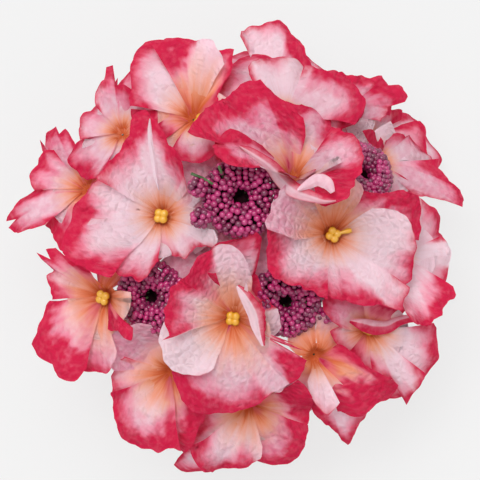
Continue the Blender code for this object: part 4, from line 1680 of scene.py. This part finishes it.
def add_sprig(twigs, beads, frame, end, radius, chance):
    """Adds a sprig that stands out from a spray, with a ball of beads at its end."""
    out = Vector((end.x, end.y, 0)).normalized()
    line = [frame @ point for point in bow(out * RING_RADIUS, out, end, out, SPRIG_STEPS, STALK_BENDS[0])]
    add_limb(twigs, line, [SPRIG_RADIUS] * len(line), sides=8)
    for i in range(SPRIG_BEADS):
        tall = 1 - 2 * (i + 0.5) / SPRIG_BEADS
        wide = math.sqrt(1 - tall * tall) * SPRIG_WIDE
        around = i * math.radians(GOLDEN_ANGLE)
        place = end + Vector((math.cos(around) * wide, math.sin(around) * wide, tall * SPRIG_TALL))
        add_bead(beads, frame, place, radius * chance.uniform(*SPRIG_SIZES), chance.random())


def add_shade_cup(shade_cup, frame):
    """Adds the near-black cup that a spray's beads stand round, a painted shade for the ring's hollow
    middle.
    """
    rings = []
    for height, out in SHADE_CUP:
        ring = bmesh.ops.create_circle(shade_cup, cap_ends=False, segments=36, radius=out)["verts"]
        bmesh.ops.transform(shade_cup, matrix=frame @ Matrix.Translation((0, 0, height)), verts=ring)
        rings.append(list({edge for vertex in ring for edge in vertex.link_edges}))
    for low, high in zip(rings, rings[1:]):
        bmesh.ops.bridge_loops(shade_cup, edges=low + high)
    bmesh.ops.holes_fill(shade_cup, edges=shade_cup.edges[:], sides=0)
    bmesh.ops.recalc_face_normals(shade_cup, faces=shade_cup.faces[:])


class Build:
    """Node-tree helpers for one material or group."""

    def __init__(self, tree):
        self.tree = tree

    def node(self, kind, inputs=None, **settings):
        """Adds a node, with settings on it and values or links on its inputs."""
        made = self.tree.nodes.new(kind)
        for key, value in settings.items():
            setattr(made, key, value)
        for key, value in (inputs or {}).items():
            if isinstance(value, bpy.types.NodeSocket):
                self.tree.links.new(value, made.inputs[key])
            else:
                made.inputs[key].default_value = value
        return made

    def sum(self, operation, a, b=0.0, c=0.0, clamp=False):
        """One arithmetic step."""
        made = self.node("ShaderNodeMath", {0: a, 1: b, 2: c}, operation=operation, use_clamp=clamp)
        return made.outputs[0]

    def ramp(self, value, low, high, to_low=0.0, to_high=1.0):
        """A smooth step between two values."""
        inputs = {"Value": value, "From Min": low, "From Max": high, "To Min": to_low, "To Max": to_high}
        return self.node("ShaderNodeMapRange", inputs, interpolation_type="SMOOTHSTEP").outputs["Result"]

    def mix(self, share, a, b, blend="MIX"):
        """Two colours mixed."""
        inputs = {0: share, 6: a, 7: b}
        return self.node("ShaderNodeMix", inputs, data_type="RGBA", blend_type=blend).outputs[2]

    def noise(self, place, scale, detail=2.0, rough=0.5, warp=0.0):
        """A noise value from 0 to 1."""
        inputs = {"Vector": place, "Scale": scale, "Detail": detail, "Roughness": rough, "Distortion": warp}
        return self.node("ShaderNodeTexNoise", inputs).outputs["Fac"]

    def vector(self, x, y, z):
        """A vector from three values."""
        return self.node("ShaderNodeCombineXYZ", {0: x, 1: y, 2: z}).outputs[0]

    def split(self, name):
        """The three values of one of the mesh's attributes."""
        whole = self.node("ShaderNodeAttribute", attribute_name=name).outputs["Vector"]
        return self.node("ShaderNodeSeparateXYZ", {0: whole}).outputs


def new_material(name, **values):
    """A material with these constant values on its shader, with its helpers and its shader."""
    made = bpy.data.materials.new(name)
    made.use_nodes = True
    surface = made.node_tree.nodes["Principled BSDF"]
    for key, value in values.items():
        surface.inputs[key.replace("_", " ").title().replace("Ior", "IOR")].default_value = value
    return made, Build(made.node_tree), surface


def bumped(build, surface, height, distance=MM):
    """Gives a shader a bump from a height in millimetres."""
    bump = build.node("ShaderNodeBump", {"Height": height, "Distance": distance, "Strength": 1.0})
    build.tree.links.new(bump.outputs["Normal"], surface.inputs["Normal"])


@functools.cache
def moulded_skin():
    """The group that moulded plastic shares: mottled shade, uneven gloss and a fine skin."""
    group = bpy.data.node_groups.new("moulded skin", "ShaderNodeTree")
    for name in ("Grain", "Depth"):
        group.interface.new_socket(name, in_out="INPUT", socket_type="NodeSocketFloat")
    for name in ("Shade", "Gloss", "Height"):
        group.interface.new_socket(name, in_out="OUTPUT", socket_type="NodeSocketFloat")
    build = Build(group)
    given = build.node("NodeGroupInput").outputs
    place = build.node("ShaderNodeTexCoord").outputs["Object"]
    soft = build.noise(place, 260.0, 3.0)
    fine = build.noise(place, given["Grain"], 3.0, 0.6)
    shade = build.ramp(soft, 0.25, 0.75)
    gloss = build.ramp(fine, 0.3, 0.7, -0.08, 0.1)
    height = build.sum("MULTIPLY", fine, given["Depth"])
    build.node("NodeGroupOutput", {"Shade": shade, "Gloss": gloss, "Height": height})
    return group


def covered(build, surface, colour, skin, roughness):
    """Gives a shader its colour and the moulded skin's gloss and height."""
    build.tree.links.new(colour, surface.inputs["Base Color"])
    build.tree.links.new(build.sum("ADD", skin.outputs["Gloss"], roughness), surface.inputs["Roughness"])
    bumped(build, surface, skin.outputs["Height"])


def plastic_material(name, dark, light, roughness, grain=900.0, depth=0.03, **values):
    """Moulded plastic between two shades."""
    made, build, surface = new_material(name, **values)
    skin = build.node("ShaderNodeGroup", {"Grain": grain, "Depth": depth}, node_tree=moulded_skin())
    covered(build, surface, build.mix(skin.outputs["Shade"], dark, light), skin, roughness)
    return made


def bead_material(name, dark, light, pale, roughness):
    """Satin plastic, a little different at random from bead to bead; from pip to pip the tone is painted
    shade, dull for a pip in a shaded throat.
    """
    made, build, surface = new_material(name, specular_ior_level=0.55, coat_weight=0.4, coat_roughness=0.12)
    skin = build.node("ShaderNodeGroup", {"Grain": 1400.0, "Depth": 0.02}, node_tree=moulded_skin())
    tone = build.node("ShaderNodeAttribute", attribute_name="tone").outputs["Fac"]
    colour = build.mix(build.ramp(tone, 0.0, 0.85), dark, light)
    colour = build.mix(build.sum("MULTIPLY", skin.outputs["Shade"], 0.15), colour, pale)
    covered(build, surface, colour, skin, roughness)
    return made


def streaks(build, across, wide, depth, long, seed, detail=2.0):
    """Noise in streaks that run along a petal, from places across and along it and a scale for each."""
    place = build.vector(build.sum("MULTIPLY", across, wide), build.sum("MULTIPLY", depth, long), seed)
    return build.noise(place, 1.0, detail)


def throat_dyes(build, dyes, ground, depth, warm, ray, vein):
    """Orange that runs out of the throat over the ground, further along some rays than others, darkest in
    the middle as partly painted shade.
    """
    far = build.sum("DIVIDE", depth, warm)
    far = build.sum("ADD", far, build.ramp(ray, 0.3, 0.7, 1.6, -1.6))
    far = build.sum("ADD", far, build.ramp(vein, 0.3, 0.7, 0.3, -0.3))
    colour = build.mix(build.ramp(far, 20.0, 6.0, 0.0, 0.8), ground, dyes.glow)
    colour = build.mix(build.ramp(far, 13.0, 3.5, 0.0, 0.9), colour, dyes.throat)
    # The deep colour is real orange darkened as painted shade of the throat's hollow.
    return build.mix(build.ramp(far, 7.0, 1.0, 0.0, 0.9), colour, dyes.deep)


def rim_dyes(build, dyes, ground, inward, band, blotch, brush, mottle):
    """Crimson that soaks in from the rim over the ground, with a wash ahead of it and a dark cut edge."""
    width = build.sum("MULTIPLY", band, build.ramp(blotch, 0.3, 0.7, 0.8, 1.6))
    near = build.sum("SUBTRACT", width, inward)
    near = build.sum("ADD", near, build.ramp(brush, 0.2, 0.8, -0.5, 0.5))
    near = build.sum("ADD", near, build.ramp(mottle, 0.2, 0.8, -0.7, 0.7))
    wash = build.sum("MULTIPLY", build.ramp(near, -12.0, 0.5, 0.0, 0.8), build.ramp(band, 0.3, 2.5))
    dyed = build.sum("MULTIPLY", build.ramp(near, -3.8, 2.6), build.ramp(band, 0.2, 1.2))
    dyed = build.sum("MULTIPLY", dyed, build.ramp(mottle, 0.3, 0.6, 0.86, 1.0))
    edge = build.ramp(build.sum("ADD", inward, mottle), 1.2, 0.5)
    edge = build.sum("MULTIPLY", edge, build.ramp(band, 0.0, 1.0, 0.0, 0.8))
    colour = build.mix(wash, ground, dyes.wash)
    colour = build.mix(dyed, colour, dyes.crimson)
    return build.mix(edge, colour, dyes.edge)


def cloth_relief(build, side, depth, seed, weave, vein, mottle):
    """The height of the cloth in millimetres: quilted creases with veins, mottle and threads on them."""
    stretched = build.vector(side, build.sum("MULTIPLY", depth, 1.15), seed)
    inputs = {"Vector": stretched, "Scale": 0.27, "Randomness": 0.7}
    cells = build.node("ShaderNodeTexVoronoi", inputs, feature="DISTANCE_TO_EDGE").outputs["Distance"]
    quilt = build.ramp(cells, -0.05, 0.5, 0.0, 0.6)
    quilt = build.sum("MULTIPLY", quilt, build.ramp(depth, 8.0, 20.0, 0.15, 1.0))
    height = build.sum("MULTIPLY_ADD", vein, 0.25, quilt)
    height = build.sum("MULTIPLY_ADD", mottle, 0.16, height)
    return build.sum("MULTIPLY_ADD", build.noise(weave, 3.2, 1.0), 0.04, height)


def silk_material(dyes):
    """The petals' cloth: pale silk dyed crimson from the rim and orange from the throat."""
    made, build, surface = new_material(
        "petal silk",
        specular_ior_level=0.12,
        subsurface_weight=0.1,
        subsurface_scale=0.0015,
        subsurface_radius=(1.0, 0.45, 0.4),
    )
    weave = build.node("ShaderNodeAttribute", attribute_name="cloth").outputs["Vector"]
    side, _, seed = build.split("cloth")
    inward, depth, band = build.split("dye")
    blush_and_shade, angle, warm = build.split("tone")
    mottle = build.noise(weave, 0.33, 3.0, 0.5)
    ray = streaks(build, angle, 5.0, depth, 0.05, seed, 3.0)
    vein = streaks(build, angle, 19.0, depth, 0.07, seed)
    # The blush is partly painted shade: it darkens petals that lie in shadow towards pink.
    blush_and_shade_share = build.sum("MULTIPLY", blush_and_shade, build.ramp(mottle, 0.25, 0.75, 0.55, 1.35), clamp=True)
    colour = build.mix(blush_and_shade_share, dyes.pale, dyes.blush_and_shade)
    veined = build.sum("MULTIPLY", build.ramp(vein, 0.5, 0.72), build.ramp(depth, 30.0, 8.0, 0.05, 0.2))
    colour = build.mix(veined, colour, dyes.vein)
    colour = throat_dyes(build, dyes, colour, depth, warm, ray, vein)
    blotch = build.noise(weave, 0.1, 2.0)
    brush = streaks(build, side, 0.55, depth, 0.2, seed)
    colour = rim_dyes(build, dyes, colour, inward, band, blotch, brush, mottle)
    build.tree.links.new(colour, surface.inputs["Base Color"])
    bumped(build, surface, cloth_relief(build, side, depth, seed, weave, vein, mottle))
    rough = build.ramp(mottle, 0.2, 0.8, 0.58, 0.78)
    build.tree.links.new(rough, surface.inputs["Roughness"])
    return made


def colour_setting(name, description, default):
    """A colour among the settings."""
    return FloatVectorProperty(name=name, description=description, size=4, subtype="COLOR", default=default)


class SilkSettings(bpy.types.PropertyGroup):
    """The cloth of the florets."""

    thickness: FloatProperty(
        name="Thickness", description="Thickness of the stiffened cloth", default=0.00036, unit="LENGTH"
    )
    ruffle: FloatProperty(
        name="Ruffle", description="Height of the ruffles at a petal's rim", default=0.0017, unit="LENGTH"
    )
    pale: colour_setting("Ground", "Undyed cloth", (0.94, 0.78, 0.84, 1))
    # Partly painted shade: this colour also darkens petals that lie in shadow.
    blush_and_shade: colour_setting("Blush", "Pink over a whole petal", (0.8, 0.38, 0.5, 1))
    vein: colour_setting("Vein", "Faint rays from the throat", (0.8, 0.45, 0.47, 1))
    wash: colour_setting("Wash", "Where the rim's dye runs out", (0.85, 0.17, 0.31, 1))
    crimson: colour_setting("Crimson", "Dye along the rim", (0.7, 0.02, 0.085, 1))
    edge: colour_setting("Cut edge", "Dye soaked into the cut edge", (0.72, 0.03, 0.11, 1))
    glow: colour_setting("Glow", "Peach fading out from the throat", (0.95, 0.56, 0.44, 1))
    throat: colour_setting("Throat", "Orange round the throat", (0.9, 0.33, 0.15, 1))
    # Partly painted shade: the deep throat's orange is darkened for the shade in the throat.
    deep: colour_setting("Deep throat", "Orange in the throat", (0.76, 0.14, 0.03, 1))


class BerrySettings(bpy.types.PropertyGroup):
    """The sprays of berries."""

    diameter: FloatProperty(name="Bead", description="Diameter of a bead", default=0.003, unit="LENGTH")
    dark: colour_setting("Dark bead", "The darkest beads", (0.1, 0.002, 0.028, 1))
    light: colour_setting("Light bead", "The lightest beads", (0.37, 0.01, 0.11, 1))


class StemSettings(bpy.types.PropertyGroup):
    """The moulded plastic."""

    stem: colour_setting("Stem", "Stem and boughs", (0.035, 0.06, 0.02, 1))
    pip: colour_setting("Pip", "The brightest pips", (0.74, 0.37, 0.008, 1))
    # Painted shade: the colour of a pip sunk in a shaded throat.
    shaded_pip: colour_setting("Deep pip", "The dullest pips", (0.2, 0.035, 0.002, 1))


class StageSettings(bpy.types.PropertyGroup):
    """Floor, light and camera."""

    floor: colour_setting("Floor", "The pale floor", (0.12, 0.12, 0.12, 1))
    glow: FloatProperty(name="Glow", description="Light from under the translucent floor", default=0.72)
    key: FloatProperty(name="Key light", description="Strength of the large soft lamp", default=1.4)
    glint: FloatProperty(name="Glint", description="Strength of the lamp that lights the beads", default=0.7)
    fill: FloatProperty(name="Fill light", description="Strength of the light from all round", default=0.92)
    height: FloatProperty(
        name="Camera height", description="Camera above the floor", default=CAMERA.z * MM, unit="LENGTH"
    )
    field: FloatProperty(
        name="Field", description="Width seen at nine tenths of a metre", default=0.2112, unit="LENGTH"
    )


class HYDRANGEA_OT_silk(bpy.types.Operator):
    """Sew every floret's petals and throat in dyed silk"""

    bl_idname = "hydrangea.silk"
    bl_label = "Silk florets"

    def execute(self, context):
        settings = context.scene.hydrangea_silk
        silk = silk_material(settings)
        thickness = settings.thickness / MM
        for k, (name, (frame, petals)) in enumerate(placed_florets().items()):
            cloth = bmesh.new()
            low = name.startswith("low_ring")
            steps, fans = (SILK_STEPS * 2 // 3, SILK_FANS * 2 // 3) if low else (SILK_STEPS, SILK_FANS)
            throat = [(petal.bearing, heights(middle_line(petal))) for petal in petals]
            for i, petal in enumerate(petals):
                seed = k * FLORET_SEED_STEP + i * PETAL_SEED_STEP
                add_petal(cloth, petal, throat, frame, thickness, settings.ruffle / MM, seed, steps, fans)
            add_throat(cloth, petals, throat, frame, thickness, k * THROAT_SEED_STEP)
            for i, fold in enumerate(FOLDS):
                if fold.floret == name:
                    add_fold(cloth, fold, thickness, i * ROLLED_RIM_SEED_STEP)
            finished(cloth, "silk_" + name, silk, [name], 60.0)
        return {"FINISHED"}


class HYDRANGEA_OT_pips(bpy.types.Operator):
    """Mould the four-lobed pip in the throat of every floret whose throat is open"""

    bl_idname = "hydrangea.pips"
    bl_label = "Pips"

    def execute(self, context):
        yellow = tuple(context.scene.hydrangea_stem.pip)
        deep = tuple(context.scene.hydrangea_stem.shaded_pip)
        look = bead_material("pip plastic", deep, yellow, (0.95, 0.72, 0.2, 1.0), 0.34)
        pips = bmesh.new()
        tone = pips.verts.layers.float.new("tone")
        for k, (name, (frame, petals)) in enumerate(placed_florets().items()):
            if name in CLOSED_THROATS:
                continue
            chance = random.Random(k)
            frame = frame @ Matrix.Translation(PIP_SHIFTS.get(name, (0, 0, 0)))
            spin = Matrix.Rotation(chance.uniform(*PIP_SPINS), 4, "Z")
            before = set(pips.verts)
            for lobe in range(PIP_LOBES):
                turn = Matrix.Rotation(lobe * math.tau / PIP_LOBES, 4, "Z")
                height = PIP_LOBE_HEIGHT + chance.uniform(*PIP_LOBE_STRAY)
                place = Matrix.Translation((PIP_LOBE_OUT, 0, height))
                squash = Matrix.Diagonal((1.0, 1.0, PIP_LOBE_SQUASH, 1.0))
                add_ball(pips, frame @ spin @ turn @ place @ squash, PIP_LOBE_RADIUS, subdivisions=3)
            add_turned(pips, frame, PIP_CORE, sides=12)
            if name == PIP_ARM_OF:
                add_limb(pips, [frame @ Vector(place) for place in PIP_ARM], PIP_ARM_RADII, sides=10)
            for vertex in set(pips.verts) - before:
                # The pip's tone is painted shade where its throat lies in shadow.
                vertex[tone] = PIP_SHADE_TONES.get(name, PIP_TONE)
        finished(pips, "pips", look, ())
        return {"FINISHED"}


class HYDRANGEA_OT_stalks(bpy.types.Operator):
    """Mould the thin stalk and calyx under every bloom"""

    bl_idname = "hydrangea.stalks"
    bl_label = "Stalks"

    def execute(self, context):
        green = tuple(context.scene.hydrangea_stem.stem)
        light = (*(shade * lighter for shade, lighter in zip(green, STALK_LIGHTER)), 1.0)
        look = plastic_material("stalk plastic", green, light, 0.5)
        stalks = bmesh.new()
        for name, (frame, petals) in placed_florets().items():
            line = stalk_line(frame, THROAT_DEPTH, solid_tree(name))
            offs = [(i - STALK_SWELL_AT) / STALK_SWELL_WIDTH for i in range(len(line))]
            radii = [STALK_RADIUS * (1 + STALK_SWELL * math.exp(-(off**2))) for off in offs]
            add_limb(stalks, line, radii, sides=10)
            add_turned(stalks, frame, CALYX, sides=12)
        for name, spray in SPRAYS.items():
            frame = spray_frame(spray)
            line = stalk_line(frame, SPRAY_DEPTH, solid_tree(name))
            add_limb(stalks, line, [STALK_RADIUS] * len(line), sides=10)
        finished(stalks, "stalks", look, ())
        return {"FINISHED"}


class HYDRANGEA_OT_berries(bpy.types.Operator):
    """Bead every spray of berries round a near-black cup that paints the shade of its hollow"""

    bl_idname = "hydrangea.berries"
    bl_label = "Berries"

    def execute(self, context):
        settings = context.scene.hydrangea_berries
        dark, light = tuple(settings.dark), tuple(settings.light)
        beads_look = bead_material("berry beads", dark, light, (0.6, 0.14, 0.34, 1.0), 0.2)
        # Near-black: the cup paints the shade of the ring's hollow middle.
        shades = ((0.004, 0.002, 0.002, 1), (0.03, 0.004, 0.01, 1))
        shade_cup_look = plastic_material("socket plastic", *shades, 0.85, specular_ior_level=0.1)
        twig_look = plastic_material("twig plastic", (0.03, 0.07, 0.02, 1), (0.09, 0.17, 0.06, 1), 0.5)
        radius = settings.diameter / MM / 2
        for name, spray in SPRAYS.items():
            chance = random.Random(name)
            frame = spray_frame(spray)
            beads = bmesh.new()
            twigs = bmesh.new()
            for place, size, tone in spray_beads(radius, chance):
                add_bead(beads, frame, place, size / spray.size, tone)
                if chance.random() < BEAD_STALK_SHARE:
                    add_bead_stalk(twigs, frame, place)
            for twig in spray.twigs:
                add_limb(twigs, [frame @ Vector(place) for place in twig], TWIG_RADII, sides=8)
            for at in spray.sprigs:
                add_sprig(twigs, beads, frame, Vector(at), radius, chance)
            shade_cup = bmesh.new()
            add_shade_cup(shade_cup, frame)
            finished(beads, "beads_" + name, beads_look, [name])
            finished(twigs, "twigs_" + name, twig_look, ())
            finished(shade_cup, "socket_" + name, shade_cup_look, (), 40.0)
        return {"FINISHED"}


class HYDRANGEA_OT_stem(bpy.types.Operator):
    """Mould the stem, its hub and its boughs"""

    bl_idname = "hydrangea.stem"
    bl_label = "Stem and boughs"

    def execute(self, context):
        green = tuple(context.scene.hydrangea_stem.stem)
        brown = (0.05, 0.028, 0.016, 1.0)
        look = plastic_material("bough plastic", brown, green, 0.48, 500.0, 0.12)
        stem = bmesh.new()
        add_turned(stem, Matrix.Identity(4), STEM, sides=28)
        finished(stem, "stem_moulding", look, ["stem"])
        boughs = bmesh.new()
        for knuckle in knuckles():
            hub = UP * HUB_HEIGHT
            leave = (knuckle - hub).normalized()
            arrive = (leave + UP * BOUGH_LIFT).normalized()
            start = hub + leave * (HUB_RADIUS + SEAT_GAP)
            line = bow(start, leave, knuckle, arrive, BOUGH_STEPS, STALK_BENDS[0])
            radii = []
            for i in range(len(line)):
                taper = (BOUGH_TIP_RADIUS - BOUGH_FOOT_RADIUS) * i / BOUGH_STEPS
                waver = BOUGH_WAVER * math.sin(i * BOUGH_WAVER_TURN)
                radii.append(BOUGH_FOOT_RADIUS + taper + waver)
            add_limb(boughs, line, radii, sides=14)
            add_ball(boughs, Matrix.Translation(knuckle), KNUCKLE_RADIUS - KNUCKLE_TRIM, subdivisions=3)
        nodes = [f"bough_{k + 1}" for k in range(RING_KNUCKLES + 1)]
        finished(boughs, "bough_mouldings", look, nodes)
        return {"FINISHED"}


class HYDRANGEA_OT_stage(bpy.types.Operator):
    """Lay the pale floor, hang the lamps and set the camera over the head"""

    bl_idname = "hydrangea.stage"
    bl_label = "Stage"

    def execute(self, context):
        settings = context.scene.hydrangea_stage
        made, _, surface = new_material("floor", roughness=0.9, specular_ior_level=0.1)
        surface.inputs["Base Color"].default_value = tuple(settings.floor)
        surface.inputs["Emission Color"].default_value = (1.0, 1.0, 1.0, 1.0)
        surface.inputs["Emission Strength"].default_value = settings.glow
        floor = bmesh.new()
        bmesh.ops.create_grid(floor, x_segments=1, y_segments=1, size=FLOOR_REACH)
        data = bpy.data.meshes.new("floor")
        floor.to_mesh(data)
        floor.free()
        data.materials.append(made)
        ground = bpy.data.objects.new("floor", data)
        context.scene.collection.objects.link(ground)
        world = bpy.data.worlds.new("studio")
        world.use_nodes = True
        sky = world.node_tree.nodes["Background"]
        sky.inputs["Color"].default_value = (1.0, 1.0, 1.0, 1.0)
        sky.inputs["Strength"].default_value = settings.fill
        context.scene.world = world
        for (name, width, place), strength in zip(LAMPS, (settings.key, settings.glint)):
            lamp = bpy.data.lights.new(name, "SUN")
            lamp.angle = math.radians(width)
            lamp.energy = strength
            hung = bpy.data.objects.new(name, lamp)
            hung.location = place
            hung.rotation_euler = (LIT_POINT - hung.location).to_track_quat("-Z", "Y").to_euler()
            context.scene.collection.objects.link(hung)
        view = bpy.data.cameras.new("camera")
        view.sensor_width = SENSOR
        view.lens = SENSOR * FIELD_AT / settings.field
        view.clip_start = 0.01
        camera = bpy.data.objects.new("camera", view)
        camera.location = (CAMERA.x * MM, CAMERA.y * MM, settings.height)
        context.scene.collection.objects.link(camera)
        context.scene.camera = camera
        context.scene.view_settings.view_transform = "Standard"
        return {"FINISHED"}


class HYDRANGEA_PT_panel(bpy.types.Panel):
    """The head's operators and sizes"""

    bl_label = "Hydrangea head"
    bl_idname = "HYDRANGEA_PT_panel"
    bl_space_type = "VIEW_3D"
    bl_region_type = "UI"
    bl_category = "Hydrangea"

    def draw(self, context):
        for operator, group in STEPS:
            box = self.layout.box()
            box.operator(operator)
            settings = getattr(context.scene, group)
            for name in settings.__annotations__:
                box.prop(settings, name)


STEPS = (
    ("hydrangea.silk", "hydrangea_silk"),
    ("hydrangea.pips", "hydrangea_stem"),
    ("hydrangea.stalks", "hydrangea_stem"),
    ("hydrangea.berries", "hydrangea_berries"),
    ("hydrangea.stem", "hydrangea_stem"),
    ("hydrangea.stage", "hydrangea_stage"),
)

GROUPS = {
    "hydrangea_silk": SilkSettings,
    "hydrangea_berries": BerrySettings,
    "hydrangea_stem": StemSettings,
    "hydrangea_stage": StageSettings,
}

CLASSES = (
    HYDRANGEA_OT_silk,
    HYDRANGEA_OT_pips,
    HYDRANGEA_OT_stalks,
    HYDRANGEA_OT_berries,
    HYDRANGEA_OT_stem,
    HYDRANGEA_OT_stage,
    HYDRANGEA_PT_panel,
)


def register():
    """Registers the settings, the operators and the panel."""
    for name, group in GROUPS.items():
        bpy.utils.register_class(group)
        setattr(bpy.types.Scene, name, PointerProperty(type=group))
    for each in CLASSES:
        bpy.utils.register_class(each)


def unregister():
    """Takes them away again."""
    for each in reversed(CLASSES):
        bpy.utils.unregister_class(each)
    for name, group in GROUPS.items():
        delattr(bpy.types.Scene, name)
        bpy.utils.unregister_class(group)


def main():
    """Dresses the head."""
    register()
    bpy.ops.hydrangea.silk()
    bpy.ops.hydrangea.pips()
    bpy.ops.hydrangea.stalks()
    bpy.ops.hydrangea.berries()
    bpy.ops.hydrangea.stem()
    bpy.ops.hydrangea.stage()


if __name__ == "__main__":
    main()
